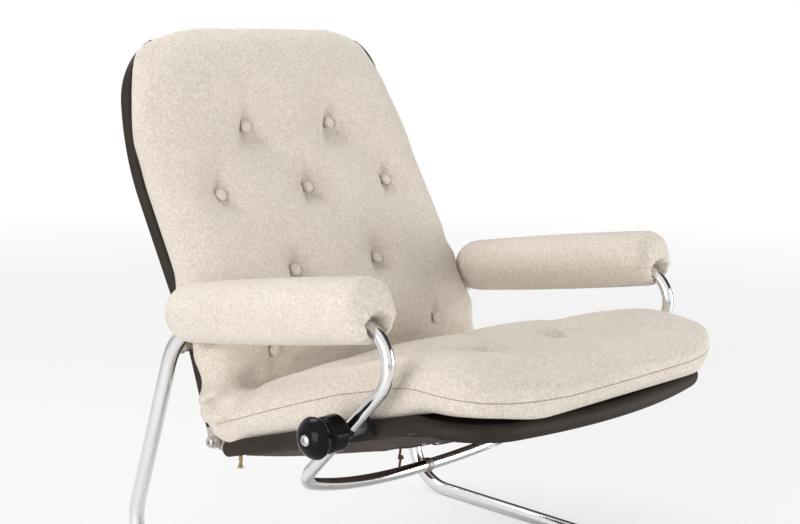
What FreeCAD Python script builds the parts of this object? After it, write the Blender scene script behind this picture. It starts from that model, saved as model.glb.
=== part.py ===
"""Reclining armchair: a chromed tube base with bolster arms, a back and a seat of tube, sling and
tufted cushion that are hinged together, and two clamping knobs that hold the seat where it slides.

Millimetres. The chair faces -Y, +Z is up, and the origin is on the floor under its middle.
Pieces of one side are drawn on the sitter's right, at -X, and mirrored to the left.
"""
import FreeCAD
import Part
import Sketcher
import math
import os

Vector = FreeCAD.Vector

DIMENSIONS = {
    # tubes, outside diameter and bore
    "leg_tube": 25, "leg_bore": 19.2, "arm_tube": 19, "arm_bore": 15, "rail_tube": 20, "rail_bore": 16,
    # base: two bent tubes that meet in the middle of the front
    "arm_spacing": 670, "leg_foot_y": 353.6, "leg_lean": 19, "floor_bend": 86, "runner_front": 330,
    "plug_bend": 120, "plug_length": 62, "plug_inset": 4, "spigot_length": 90,
    # arm loops: arm, front bend, slope under the seat and bowed cross tube
    "arm_height": 476.2, "arm_rise": 9.4, "arm_reach": 562, "arm_bend": 54, "slope_drop": 46,
    "slope_run": 390.8, "corner_bend": 65, "bow_depth": 81.4, "bow_angle": 25.6, "bow_straight": 20,
    "weld_length": 14, "weld_height": 1.6,
    # arm pads
    "pad_length": 442, "pad_radius": 46.5, "pad_swell": 8100, "pad_rear": -4.5, "pad_lift": 16.3,
    "pad_dome": 42, "pad_flat": 20, "pad_roll": 26, "pad_roll_radius": 27, "pad_mouth": 26, "pad_throat": 12,
    "pad_pit": 40, "pad_clearance": 0.3,
    # rear pivots, on the legs
    "pivot_height": 398, "collar_diameter": 20, "pin_diameter": 10, "pin_tip_x": 297, "collar_face_x": 317,
    "pivot_washer": 2, "boss_diameter": 16, "boss_face_x": 314.8, "boss_bore": 10.1,
    # back and seat frames
    "rail_spacing": 570, "hinge_y": 170, "hinge_z": 251, "rail_gap": 24,
    "lumbar_y": 225, "lumbar_z": 398, "lumbar_bend": 300, "head_y": 391.6, "head_z": 688.7,
    "head_bend": 355, "head_tilt": 4, "back_top": 872, "back_corner": 100,
    "seat_tilt": 17.5, "seat_rail_drop": 15.4, "seat_run": 442, "seat_bend": 118, "front_corner_y": 355.4,
    "front_corner": 96, "front_bow": 12, "front_bow_radius": 912,
    # slings: a hem round the tube and a web between the rails
    "hem_bore": 20.4, "hem_diameter": 25.6, "web_thickness": 2.4, "web_height": 6, "web_inset": 9.8,
    "flap_edge": 42, "flap_drop": 56, "lace_diameter": 4, "lace_pitch": 62, "lace_runs": 6, "lace_bend": 3.5,
    # seat and back hinge
    "lug_radius": 12, "lug_width": 16, "lug_thickness": 5, "hinge_bolt": 8, "hinge_clearance": 0.1,
    "back_lug_x": 294.5, "seat_lug_x": 288, "hinge_head": 16, "hinge_head_length": 8, "hinge_washer": 22,
    "hinge_washer_thickness": 1.5, "hinge_spacer": 18, "hinge_nut": 14, "hinge_nut_length": 6.4,
    "hinge_socket": 5,
    # recline clamp
    "clamp_y": -175, "clamp_z": 354.1, "clamp_bolt": 10, "clamp_hole": 10.5, "plate_x": 306,
    "plate_thickness": 4, "plate_start": 299, "plate_end": 373, "plate_low": -26, "plate_high": 6,
    "slot_start": 311, "slot_end": 361.5, "slot_low": -5.5, "slot_rise": 2.3, "slot_width": 10.8,
    "foot_length": 6, "foot_width": 17, "clamp_nut": 14, "clamp_nut_x": 301.7, "clamp_nut_length": 3.4,
    "spacer_diameter": 22, "spacer_face_x": 306.3, "saddle_diameter": 26, "saddle_face_x": 349,
    "knob_face_x": 349.3, "knob_boss": 32, "knob_flange": 53, "knob_groove": 44, "knob_dome": 60,
    "knob_length": 65,
    "bolt_head": 17.5, "bolt_head_length": 5, "bolt_socket": 6,
    # cushions, measured from the rail's centre line
    "cushion_seat": 7.8, "back_base": 258, "back_side": 284, "back_shoulder": 236, "back_crown": 104,
    "seat_base": 268, "seat_side": 302, "seat_shoulder": 260, "seat_crown": 108, "edge_share": 0.83,
    "back_cushion_top": 893, "seat_cushion_front": 417.2, "mitre_gap": 0.4, "hinge_pocket": 24,
    "hip_inset": -36, "lumbar_inset": -4, "back_inset": -23, "back_sway": 20, "pivot_pocket": 13,
    "tuft_mouth": 62, "tuft_floor": 11, "back_tuft": 76, "seat_tuft": 80,
    "button_diameter": 19, "button_height": 6, "tuft_spacing": 192,
}

doc = FreeCAD.newDocument("Recliner")
sheet = doc.addObject("Spreadsheet::Sheet", "Dimensions")
for row, (alias, number) in enumerate(DIMENSIONS.items(), start=1):
    sheet.set("A%d" % row, alias)
    sheet.set("B%d" % row, str(number))
    sheet.setAlias("B%d" % row, alias)
doc.recompute()


class Size:
    """A number together with the spreadsheet expression that gives it."""

    def __init__(self, value, text):
        self.value = value
        self.text = text

    def __add__(self, other):
        other = as_size(other)
        return Size(self.value + other.value, "(%s + %s)" % (self.text, other.text))

    def __sub__(self, other):
        other = as_size(other)
        return Size(self.value - other.value, "(%s - %s)" % (self.text, other.text))

    def __mul__(self, factor):
        return Size(self.value * factor, "(%s * %r)" % (self.text, factor))

    def __truediv__(self, factor):
        return Size(self.value / factor, "(%s / %r)" % (self.text, factor))

    def __neg__(self):
        return self * -1


def as_size(number):
    return number if isinstance(number, Size) else Size(float(number), "(%r)" % float(number))


def size(alias):
    """A driving dimension, to bind to."""
    return Size(float(sheet.get(alias)), "Dimensions." + alias)


def value(alias):
    """A driving dimension, as a number."""
    return float(sheet.get(alias))


def bind(piece, **sizes):
    """Set properties of a piece by expression."""
    for name, amount in sizes.items():
        piece.setExpression(name, as_size(amount).text)


subparts = {}


def keep(name, piece):
    """Register a finished sub-part under the name of its file."""
    piece.Label = name
    subparts[name] = piece
    return piece


def keep_both(name, right):
    """Register a right-hand piece and its mirror image on the left."""
    mirrored = doc.addObject("Part::Mirroring", name + "_mirror")
    mirrored.Source = right
    mirrored.Normal = Vector(1, 0, 0)
    keep(name + "_right", right)
    keep(name + "_left", mirrored)


def keep_pair(name, right):
    """Register a right-hand fastener and its mirror image as one group."""
    mirrored = doc.addObject("Part::Mirroring", name + "_mirror")
    mirrored.Source = right
    mirrored.Normal = Vector(1, 0, 0)
    group = doc.addObject("Part::Compound", name + "_group")
    group.Links = [right, mirrored]
    keep(name, group)


def cut(name, base, tool):
    piece = doc.addObject("Part::Cut", name)
    piece.Base = base
    piece.Tool = tool
    return piece


def fuse(name, pieces):
    piece = doc.addObject("Part::MultiFuse", name)
    piece.Shapes = pieces
    return piece


# Paths


def turned_vector(angle):
    """Unit vector in the YZ plane: 0 degrees points forward, 90 degrees points up."""
    turn = math.radians(angle)
    return Vector(0, -math.cos(turn), math.sin(turn))


def rounded_path(points, radii):
    """Wire through the points, with each inner corner rounded by a tangent arc."""
    edges = []
    start = points[0]
    for before, corner, after, radius in zip(points, points[1:], points[2:], radii):
        inward = (before - corner).normalize()
        outward = (after - corner).normalize()
        half_turn = (math.pi - inward.getAngle(outward)) / 2
        reach = radius * math.tan(half_turn)
        crown = (inward + outward).normalize() * (radius / math.cos(half_turn) - radius)
        first = corner + inward * reach
        last = corner + outward * reach
        edges.append(Part.LineSegment(start, first).toShape())
        edges.append(Part.Arc(first, corner + crown, last).toShape())
        start = last
    edges.append(Part.LineSegment(start, points[-1]).toShape())
    return Part.Wire(edges)


def swept(name, wire, diameter):
    """A round bar along a wire."""
    spine = doc.addObject("Part::Feature", name + "_path")
    spine.Shape = wire
    ring = doc.addObject("Part::Circle", name + "_ring")
    bind(ring, Radius=as_size(diameter) / 2)
    first = wire.OrderedEdges[0]
    ring.Placement = FreeCAD.Placement(first.valueAt(first.FirstParameter),
                                       FreeCAD.Rotation(Vector(0, 0, 1), first.tangentAt(first.FirstParameter)))
    bar = doc.addObject("Part::Sweep", name)
    bar.Sections = [ring]
    bar.Spine = (spine, ["Edge%d" % (number + 1) for number in range(len(wire.Edges))])
    bar.Solid = True
    bar.Frenet = False
    return bar


arm_x = -value("arm_spacing") / 2
rail_x = -value("rail_spacing") / 2
forward_arm = turned_vector(value("arm_rise"))
upward_arm = turned_vector(value("arm_rise") + 90)
down_slope = Vector(0, math.cos(math.radians(value("slope_drop"))), -math.sin(math.radians(value("slope_drop"))))
up_leg = turned_vector(90 - value("leg_lean"))

# The leg and the arm meet where the leg's line crosses the arm tube's line.
leg_foot = Vector(arm_x, value("leg_foot_y"), value("leg_tube") / 2)
arm_slope = math.tan(math.radians(value("arm_rise")))
leg_length = ((value("arm_height") - arm_slope * leg_foot.y - leg_foot.z)
              / (up_leg.z + arm_slope * up_leg.y))
arm_root = leg_foot + up_leg * leg_length
plug_turn = 90 - value("leg_lean") - value("arm_rise")
plug_reach = value("plug_bend") * math.tan(math.radians(plug_turn) / 2)
arm_front = arm_root + forward_arm * value("arm_reach")


def base_path():
    """Plug in the arm pad, rear leg, runner on the floor and half of the front tube."""
    plug_end = arm_root + forward_arm * (plug_reach + value("plug_length"))
    front_corner = Vector(arm_x, -value("runner_front"), leg_foot.z)
    front_middle = Vector(0, -value("runner_front"), leg_foot.z)
    return rounded_path([plug_end, arm_root, leg_foot, front_corner, front_middle],
                        [value("plug_bend"), value("floor_bend"), value("floor_bend")])


def arm_path():
    """Arm, front bend, slope past the seat and half of the bowed cross tube."""
    start = arm_root + forward_arm * (plug_reach + value("plug_inset"))
    corner = arm_front + down_slope * value("slope_run")
    bow = arm_front + down_slope * (value("slope_run") + value("bow_depth"))
    bow_turn = math.radians(value("bow_angle"))
    bow.x = arm_x + value("bow_depth") / math.tan(bow_turn)
    bow_radius = (-bow.x - value("bow_straight")) / math.tan(bow_turn / 2)
    middle = Vector(0, bow.y, bow.z)
    return rounded_path([start, arm_front, corner, bow, middle],
                        [value("arm_bend"), value("corner_bend"), bow_radius])


hinge = Vector(rail_x, value("hinge_y"), value("hinge_z"))
lumbar = Vector(rail_x, value("lumbar_y"), value("lumbar_z"))
head = Vector(rail_x, value("head_y"), value("head_z"))
up_back = (lumbar - hinge).normalize()
up_head = turned_vector(90 + value("head_tilt"))
back_corner = head + up_head * ((value("back_top") - head.z) / up_head.z)
along_seat = turned_vector(value("seat_tilt"))
off_seat = turned_vector(value("seat_tilt") + 90)
seat_start = hinge + along_seat * value("rail_gap") - off_seat * value("seat_rail_drop")
seat_knee = hinge + along_seat * value("seat_run") - off_seat * value("seat_rail_drop")
seat_corner = Vector(rail_x, -value("front_corner_y"), seat_knee.z)
bow_tilt = math.tan(math.radians(value("front_bow")))
seat_middle = Vector(0, seat_corner.y + rail_x * bow_tilt, seat_knee.z)


def mirrored_points(points):
    return [Vector(-point.x, point.y, point.z) for point in reversed(points)]


def back_path():
    """Side rail with its lumbar and head bends, top corner, top rail and the other side."""
    side = [hinge + up_back * value("rail_gap"), lumbar, head, back_corner]
    bends = [value("lumbar_bend"), value("head_bend"), value("back_corner")]
    return rounded_path(side + mirrored_points(side), bends + bends[::-1])


def seat_path():
    """Side rail that levels out at the front, front corner, bowed front rail and the other side."""
    side = [seat_start, seat_knee, seat_corner]
    bends = [value("seat_bend"), value("front_corner")]
    return rounded_path(side + [seat_middle] + mirrored_points(side),
                        bends + [value("front_bow_radius")] + bends[::-1])


# Sketched bodies


def origin_plane(body, role):
    return [plane for plane in body.Origin.OriginFeatures if plane.Role == role][0]


def bulged(start, end, radius, turn):
    """Arc from start to end that bulges out of the outline, or into it where the radius is negative.
    It runs counter-clockwise, from end to start where it has to."""
    chord = end - start
    left = Vector(-chord.y, chord.x, 0).normalize()
    rise = abs(radius) - math.sqrt(max(radius * radius - chord.Length ** 2 / 4, 0))
    middle = (start + end) * 0.5 - left * rise * turn * math.copysign(1, radius)
    if turn * radius > 0:
        return Part.Arc(start, middle, end), (1, 2)
    return Part.Arc(end, middle, start), (2, 1)


def outline(body, name, role, corners, holes=()):
    """Closed sketch. A corner is (u, v), or (u, v, radius) where the side that ends there is an arc.
    A hole is (u, v, diameter). Every corner, radius and hole is bound to the spreadsheet."""
    sketch = body.newObject("Sketcher::SketchObject", name)
    sketch.AttachmentSupport = [(origin_plane(body, role), "")]
    sketch.MapMode = "FlatFace"
    corners = [tuple(as_size(number) for number in corner) for corner in corners]
    spots = [Vector(corner[0].value, corner[1].value, 0) for corner in corners]
    area = sum(a.x * b.y - b.x * a.y for a, b in zip(spots, spots[1:] + spots[:1]))
    turn = math.copysign(1, area)
    ends = []
    for number, corner in enumerate(corners):
        start, end = spots[number - 1], spots[number]
        if len(corner) == 3:
            side, points = bulged(start, end, corner[2].value, turn)
        else:
            side, points = Part.LineSegment(start, end), (1, 2)
        sketch.addGeometry(side, False)
        ends.append(points)

    def pin(kind, geometry, point, amount):
        axis = -2 if kind == "DistanceX" else -1
        if abs(amount.value) < 1e-9:
            sketch.addConstraint(Sketcher.Constraint("PointOnObject", geometry, point, axis))
            return
        index = sketch.addConstraint(Sketcher.Constraint(kind, -1, 1, geometry, point, amount.value))
        sketch.setExpression("Constraints[%d]" % index, amount.text)

    for number, corner in enumerate(corners):
        follower = (number + 1) % len(corners)
        sketch.addConstraint(Sketcher.Constraint("Coincident", number, ends[number][1],
                                                 follower, ends[follower][0]))
        pin("DistanceX", number, ends[number][1], corner[0])
        pin("DistanceY", number, ends[number][1], corner[1])
        if len(corner) == 3:
            radius = corner[2] if corner[2].value > 0 else -corner[2]
            index = sketch.addConstraint(Sketcher.Constraint("Radius", number, radius.value))
            sketch.setExpression("Constraints[%d]" % index, radius.text)
    for u, v, diameter in holes:
        u, v, diameter = as_size(u), as_size(v), as_size(diameter)
        number = sketch.addGeometry(Part.Circle(Vector(u.value, v.value, 0), Vector(0, 0, 1),
                                                diameter.value / 2), False)
        pin("DistanceX", number, 3, u)
        pin("DistanceY", number, 3, v)
        index = sketch.addConstraint(Sketcher.Constraint("Radius", number, diameter.value / 2))
        sketch.setExpression("Constraints[%d]" % index, (diameter / 2).text)
    return sketch


def turned(name, corners, place=Vector(0, 0, 0), rotation=FreeCAD.Rotation()):
    """A piece turned about its own X axis: corners are (x, radius)."""
    body = doc.addObject("PartDesign::Body", name)
    sketch = outline(body, name + "_outline", "XY_Plane", corners)
    turning = body.newObject("PartDesign::Revolution", name + "_turning")
    turning.Profile = sketch
    turning.ReferenceAxis = (sketch, ["H_Axis"])
    turning.Angle = 360
    body.Placement = FreeCAD.Placement(place, rotation)
    return body


def ring(name, outer_x, inner_x, diameter, bore, place):
    """A washer or bush that lies between two distances from the middle of the chair."""
    return turned(name, [(-outer_x, bore / 2), (-inner_x, bore / 2), (-inner_x, diameter / 2),
                         (-outer_x, diameter / 2)], place)


def plate(name, corners, thickness, outer_x, tilt, holes=()):
    """A plate square to X, from outer_x inward, drawn about the hinge with its first axis tilted up from -Y."""
    body = doc.addObject("PartDesign::Body", name)
    sketch = outline(body, name + "_outline", "XY_Plane", corners, holes)
    pad = body.newObject("PartDesign::Pad", name + "_pad")
    pad.Profile = sketch
    bind(pad, Length=thickness)
    first = turned_vector(tilt)
    second = turned_vector(tilt + 90)
    frame = FreeCAD.Rotation(first, second, first.cross(second), "XYZ")
    body.Placement = FreeCAD.Placement(Vector(as_size(thickness).value - outer_x, hinge.y, hinge.z), frame)
    return body


def hex_socket(body, across, depth, face_x):
    """Hexagon pocket in the outer face of a turned bolt."""
    sketch = body.newObject("Sketcher::SketchObject", body.Name + "_socket")
    sketch.AttachmentSupport = [(origin_plane(body, "YZ_Plane"), "")]
    sketch.MapMode = "FlatFace"
    sketch.AttachmentOffset = FreeCAD.Placement(Vector(0, 0, -face_x.value), FreeCAD.Rotation())
    corner_radius = across / math.sqrt(3)
    spots = [Vector(corner_radius * math.cos(math.radians(60 * step)),
                    corner_radius * math.sin(math.radians(60 * step)), 0) for step in range(6)]
    for start, end in zip(spots, spots[1:] + spots[:1]):
        sketch.addGeometry(Part.LineSegment(start, end), False)
    pocket = body.newObject("PartDesign::Pocket", body.Name + "_socket_cut")
    pocket.Profile = sketch
    pocket.Length = depth
    pocket.Reversed = True
    return pocket


# Base and arm loops

base_wire = base_path()
arm_wire = arm_path()
base_bar = swept("base_bar", base_wire, size("leg_tube"))
base_tube = cut("base_tube", base_bar, swept("base_bore", base_wire, size("leg_bore")))
keep_both("base_tube", base_tube)

spigot = doc.addObject("Part::Cylinder", "base_spigot")
bind(spigot, Radius=size("arm_tube") / 2, Height=size("spigot_length"))
spigot.Placement = FreeCAD.Placement(Vector(-value("spigot_length") / 2, -value("runner_front"), leg_foot.z),
                                     FreeCAD.Rotation(Vector(0, 0, 1), Vector(1, 0, 0)))
keep("base_spigot", spigot)

clamp = Vector(0, value("clamp_y"), value("clamp_z"))
arm_bar = swept("arm_bar", arm_wire, size("arm_tube"))
arm_shell = cut("arm_shell", arm_bar, swept("arm_bore", arm_wire, size("arm_bore")))
clamp_drill = doc.addObject("Part::Cylinder", "clamp_drill")
bind(clamp_drill, Radius=size("clamp_hole") / 2, Height=size("arm_tube") * 2)
clamp_drill.Placement = FreeCAD.Placement(clamp + Vector(arm_x - value("arm_tube"), 0, 0),
                                          FreeCAD.Rotation(Vector(0, 0, 1), Vector(1, 0, 0)))
keep_both("arm_tube", cut("arm_tube", arm_shell, clamp_drill))

cross_middle = arm_wire.OrderedVertexes[-1].Point
weld_edge = size("arm_tube") / 2
weld = turned("cross_tube_weld", [(-size("weld_length") / 2, weld_edge), (size("weld_length") / 2, weld_edge),
                                  (size("weld_length") / 2, weld_edge + size("weld_height") / 2),
                                  (-size("weld_length") / 2, weld_edge + size("weld_height") / 2,
                                   size("weld_length") * 1.2)], cross_middle)
keep("cross_tube_weld", weld)

# Arm pads: a domed bolster round the arm tube, with a pit at the front where the tube comes out

pad_tail = arm_root - forward_arm * value("pad_rear") + upward_arm * value("pad_lift")
pad_frame = FreeCAD.Rotation(forward_arm, Vector(1, 0, 0), upward_arm, "XZY")
pad_end = size("pad_length")
pad_core = turned("arm_pad_core", [
    (0, 0), (pad_end, 0), (pad_end, size("pad_radius") - size("pad_roll")),
    (pad_end - size("pad_roll"), size("pad_radius"), size("pad_roll_radius")),
    (size("pad_dome"), size("pad_radius"), size("pad_swell")),
    (0, size("pad_flat"), size("pad_dome") * 1.12),
], pad_tail, pad_frame)
pit = doc.addObject("Part::Cone", "pad_pit")
bind(pit, Radius1=size("pad_throat"), Radius2=size("pad_mouth"), Height=size("pad_pit"))
pit_floor = arm_root + forward_arm * (value("pad_length") - value("pad_rear") - value("pad_pit") + 2)
pit.Placement = FreeCAD.Placement(pit_floor, FreeCAD.Rotation(Vector(0, 0, 1), forward_arm))
pad_bores = fuse("pad_bores", [swept("pad_leg_bore", base_wire, size("leg_tube") + size("pad_clearance") * 2),
                               swept("pad_arm_bore", arm_wire, size("arm_tube") + size("pad_clearance") * 2), pit])
keep_both("arm_pad", cut("arm_pad", pad_core, pad_bores))

# Rear pivots: a collared pin on each leg, and a boss on each back rail that turns on it

back_wire = back_path()
back_bar = swept("back_bar", back_wire, size("rail_tube"))
pivot_lift = (value("pivot_height") - leg_foot.z) / up_leg.z
pivot = Vector(0, (leg_foot + up_leg * pivot_lift).y, value("pivot_height"))
pin_radius = size("pin_diameter") / 2
pivot_pin = turned("pivot_pin_blank", [
    (-size("arm_spacing") / 2, 0), (-size("pin_tip_x"), 0), (-size("pin_tip_x"), pin_radius),
    (-size("collar_face_x"), pin_radius), (-size("collar_face_x"), size("collar_diameter") / 2),
    (-size("arm_spacing") / 2, size("collar_diameter") / 2)], pivot)
keep_both("pivot_pin", cut("pivot_pin", pivot_pin, base_bar))
keep_pair("pivot_washers", ring("pivot_washer", size("collar_face_x"), size("collar_face_x") - size("pivot_washer"),
                                size("collar_diameter"), size("boss_bore"), pivot))
boss_blank = ring("pivot_boss_blank", size("boss_face_x"), size("rail_spacing") / 2, size("boss_diameter"),
                  size("boss_bore"), pivot)
keep_both("pivot_boss", cut("pivot_boss", boss_blank, back_bar))

# Back and seat frames

keep("back_frame", cut("back_frame", back_bar, swept("back_bore", back_wire, size("rail_bore"))))
seat_wire = seat_path()
seat_bar = swept("seat_bar", seat_wire, size("rail_tube"))
keep("seat_frame", cut("seat_frame", seat_bar, swept("seat_bore", seat_wire, size("rail_bore"))))

# Hinge between seat and back

lug = size("lug_radius")
half_lug = size("lug_width") / 2
gap = size("rail_gap")
drop = size("seat_rail_drop")
hinge_hole = (0, 0, size("hinge_bolt") + size("hinge_clearance") * 2)
back_tilt = math.degrees(math.atan2(up_back.z, -up_back.y))
keep_both("back_hinge_lug", plate("back_hinge_lug", [
    (gap, -half_lug), (gap, half_lug), (0, lug), (0, -lug, lug * 1.002),
], size("lug_thickness"), value("back_lug_x"), back_tilt, [hinge_hole]))
lug_reach = lug / math.sqrt(2)
keep_both("seat_hinge_lug", plate("seat_hinge_lug", [
    (gap, -drop - half_lug), (gap, -drop + half_lug), (lug_reach, lug_reach),
    (-lug_reach, -lug_reach, lug * 1.002),
], size("lug_thickness"), value("seat_lug_x"), value("seat_tilt"), [hinge_hole]))

hinge_line = Vector(0, hinge.y, hinge.z)
washer_x = size("back_lug_x") + size("hinge_washer_thickness")
nut_x = size("seat_lug_x") - size("lug_thickness") - size("hinge_clearance")
head_x = washer_x + size("hinge_head_length")
shank = size("hinge_bolt") / 2
hinge_bolt = turned("hinge_bolt_body", [
    (-(nut_x - size("hinge_nut_length") - 1), 0), (-(nut_x - size("hinge_nut_length") - 1), shank),
    (-washer_x, shank), (-washer_x, size("hinge_head") / 2), (-head_x + 2, size("hinge_head") / 2),
    (-head_x, size("hinge_head") / 2 - 2, as_size(2.2)), (-head_x, 0)], hinge_line)
hex_socket(hinge_bolt, value("hinge_socket"), value("hinge_head_length") / 2, head_x)
keep_pair("hinge_bolts", hinge_bolt)
hinge_bore = size("hinge_bolt") + size("hinge_clearance") * 2
keep_pair("hinge_washers", ring("hinge_washer_body", washer_x, size("back_lug_x"), size("hinge_washer"),
                                hinge_bore, hinge_line))
keep_pair("hinge_spacers", ring("hinge_spacer_body", size("back_lug_x") - size("lug_thickness"),
                                size("seat_lug_x") + size("hinge_clearance"), size("hinge_spacer"),
                                hinge_bore, hinge_line))
nut_blank = doc.addObject("Part::Prism", "hinge_nut_blank")
nut_blank.Polygon = 6
bind(nut_blank, Circumradius=size("hinge_nut") / 2, Height=size("hinge_nut_length"))
nut_blank.Placement = FreeCAD.Placement(hinge_line - Vector(nut_x.value, 0, 0),
                                        FreeCAD.Rotation(Vector(0, 0, 1), Vector(1, 0, 0)))
nut_drill = doc.addObject("Part::Cylinder", "hinge_nut_drill")
bind(nut_drill, Radius=hinge_bore / 2, Height=size("hinge_nut_length"))
nut_drill.Placement = nut_blank.Placement
keep_pair("hinge_nuts", cut("hinge_nut", nut_blank, nut_drill))

# Recline clamp: a slotted plate on the seat rail, and a knob and bolt through the arm tube

slot_top = size("slot_low") + size("slot_width") / 2
slot_base = size("slot_low") - size("slot_width") / 2
slot_half = (value("slot_end") - value("slot_start")) / 2
slot_bend = as_size((slot_half ** 2 + value("slot_rise") ** 2) / (2 * value("slot_rise")))
slot_cap = size("slot_width") * 0.501
adjuster = plate("adjuster_plate_blank", [
    (size("plate_start"), size("plate_low")), (size("plate_end"), size("plate_low")),
    (size("plate_end"), size("plate_high")), (size("plate_start"), size("plate_high")),
], size("plate_thickness"), value("plate_x"), value("seat_tilt"))
slot_sketch = outline(adjuster, "adjuster_slot", "XY_Plane", [
    (size("slot_start"), slot_base, slot_cap), (size("slot_end"), slot_base, -slot_bend),
    (size("slot_end"), slot_top, slot_cap), (size("slot_start"), slot_top, slot_bend)])
slot_cut = adjuster.newObject("PartDesign::Pocket", "adjuster_slot_cut")
slot_cut.Profile = slot_sketch
slot_cut.Type = "ThroughAll"
slot_cut.Midplane = True
foot_low = -drop - size("foot_width") / 2
foot_high = -drop + size("foot_width") / 2
feet = []
for label, near in (("rear", size("plate_start")), ("front", size("plate_end") - size("foot_length"))):
    feet.append(plate("adjuster_foot_" + label, [
        (near, foot_low), (near + size("foot_length"), foot_low),
        (near + size("foot_length"), foot_high), (near, foot_high),
    ], size("plate_x") - size("plate_thickness") - size("rail_spacing") / 2,
        value("plate_x") - value("plate_thickness"), value("seat_tilt")))
adjuster_whole = fuse("adjuster_whole", [adjuster] + feet)
keep_both("adjuster_plate", cut("adjuster_plate", adjuster_whole, seat_bar))

keep_both("clamp_nut", ring("clamp_nut_body", size("clamp_nut_x"), size("clamp_nut_x") - size("clamp_nut_length"),
                            size("clamp_nut"), size("clamp_bolt") + 0.1, clamp))
keep_both("clamp_spacer", cut("clamp_spacer", ring("clamp_spacer_blank", size("arm_spacing") / 2, size("spacer_face_x"),
                                                   size("spacer_diameter"), size("clamp_hole"), clamp), arm_bar))
keep_both("knob_saddle", cut("knob_saddle", ring("knob_saddle_blank", size("saddle_face_x"), size("arm_spacing") / 2,
                                                 size("saddle_diameter"), size("clamp_hole"), clamp), arm_bar))

knob_bore = size("clamp_bolt") / 2 + 0.1
face = size("knob_face_x")
head_seat = face + size("knob_length")
knob = turned("knob_body", [
    (-face, knob_bore), (-face, size("knob_boss") / 2), (-face - 5, size("knob_flange") / 2 - 3),
    (-face - 9, size("knob_flange") / 2, as_size(7)), (-face - 30, size("knob_flange") / 2 - 0.5),
    (-face - 34, size("knob_flange") / 2 - 3, as_size(7)), (-face - 38, size("knob_groove") / 2, as_size(-10)),
    (-face - 51, size("knob_dome") / 2, as_size(17)), (-head_seat - 3, size("bolt_head") / 2 + 0.4, as_size(27)),
    (-head_seat, size("bolt_head") / 2 + 0.4), (-head_seat, knob_bore),
], clamp)
keep_both("knob", knob)
bolt_radius = size("clamp_bolt") / 2
bolt_tip = size("clamp_nut_x") - size("clamp_nut_length")
knob_bolt = turned("knob_bolt_body", [
    (-bolt_tip, 0), (-bolt_tip, bolt_radius), (-head_seat, bolt_radius), (-head_seat, size("bolt_head") / 2),
    (-head_seat - 1.5, size("bolt_head") / 2), (-head_seat - size("bolt_head_length"), size("bolt_socket") * 0.75,
                                               as_size(9)),
    (-head_seat - size("bolt_head_length"), 0)], clamp)
hex_socket(knob_bolt, value("bolt_socket"), value("bolt_head_length") * 0.7, head_seat + size("bolt_head_length"))
keep_both("knob_bolt", knob_bolt)

# Slings: a canvas hem round the frame tube and a web stretched between the rails

hem_gap = value("hem_bore") / 2 - value("rail_tube") / 2


def side_strip(name, wire, offset, half_width):
    """A thin sheet, square to the rails, that follows a side profile at one distance from it."""
    first = wire.OrderedEdges[0]
    start = first.valueAt(first.FirstParameter)
    along = first.tangentAt(first.FirstParameter)
    across = Vector(1, 0, 0)
    normal = along.cross(across)
    low = start + normal * (offset - value("web_thickness") / 2)
    corners = [low - across * half_width, low + across * half_width]
    corners += [point + normal * value("web_thickness") for point in reversed(corners)]
    section = doc.addObject("Part::Feature", name + "_section")
    section.Shape = Part.makePolygon(corners + corners[:1])
    spine = doc.addObject("Part::Feature", name + "_path")
    spine.Shape = wire
    strip = doc.addObject("Part::Sweep", name)
    strip.Sections = [section]
    strip.Spine = (spine, ["Edge%d" % (number + 1) for number in range(len(wire.Edges))])
    strip.Solid = True
    strip.Frenet = False
    return strip


def prism(name, wire, travel):
    """The solid that a flat outline sweeps along a straight travel."""
    solid = doc.addObject("Part::Feature", name)
    solid.Shape = Part.Face(wire).extrude(travel)
    return solid


def sling(name, frame_wire, web, trims):
    """Hem and web in one piece, cut clear of the brackets that pass through the hem."""
    hem = cut(name + "_hem", swept(name + "_hem_bar", frame_wire, size("hem_diameter")),
              swept(name + "_hem_bore", frame_wire, size("hem_bore")))
    inner = swept(name + "_hem_room", frame_wire, size("hem_bore"))
    whole = fuse(name + "_whole", [hem, cut(name + "_web", web, inner)])
    return cut(name, whole, fuse(name + "_trims", trims))


def at_middle(points):
    return [Vector(0, point.y, point.z) for point in points]


back_line = at_middle([hinge + up_back * value("rail_gap"), lumbar, head, back_corner + up_head * 40])
back_line_wire = rounded_path(back_line, [value("lumbar_bend"), value("head_bend")])
web_half = -rail_x - value("web_inset")
web_top = value("back_top") - value("web_inset")
web_radius = value("back_corner") - value("web_inset")
depth_start = -600
back_outline = rounded_path([Vector(0, depth_start, 0), Vector(-web_half, depth_start, 0),
                             Vector(-web_half, depth_start, web_top), Vector(0, depth_start, web_top)],
                            [1, web_radius])
back_mirror = back_outline.mirror(Vector(0, 0, 0), Vector(1, 0, 0))
back_window = prism("back_window", Part.Wire(Part.__sortEdges__(back_outline.Edges + back_mirror.Edges)),
                    Vector(0, -2 * depth_start, 0))
back_web = doc.addObject("Part::Common", "back_web")
back_web.Base = side_strip("back_strip", back_line_wire, -value("web_height"), web_half + 1)
back_web.Tool = back_window
boss_room = doc.addObject("Part::Cylinder", "boss_room")
bind(boss_room, Radius=size("boss_diameter") / 2 + 0.5, Height=size("arm_spacing"))
boss_room.Placement = FreeCAD.Placement(pivot + Vector(arm_x, 0, 0), FreeCAD.Rotation(Vector(0, 0, 1), Vector(1, 0, 0)))
rail_room = doc.addObject("Part::Box", "rail_room")
bind(rail_room, Length=size("rail_spacing"), Width=size("boss_diameter") * 4, Height=size("boss_diameter") * 4)
rail_room.Placement.Base = pivot + Vector(rail_x, -2 * value("boss_diameter"), -2 * value("boss_diameter"))
keep("back_sling", sling("back_sling", back_wire, back_web, [cut("boss_notch", boss_room, rail_room)]))

# The seat sling also has two flaps that hang under the seat and are laced to each other.

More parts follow.
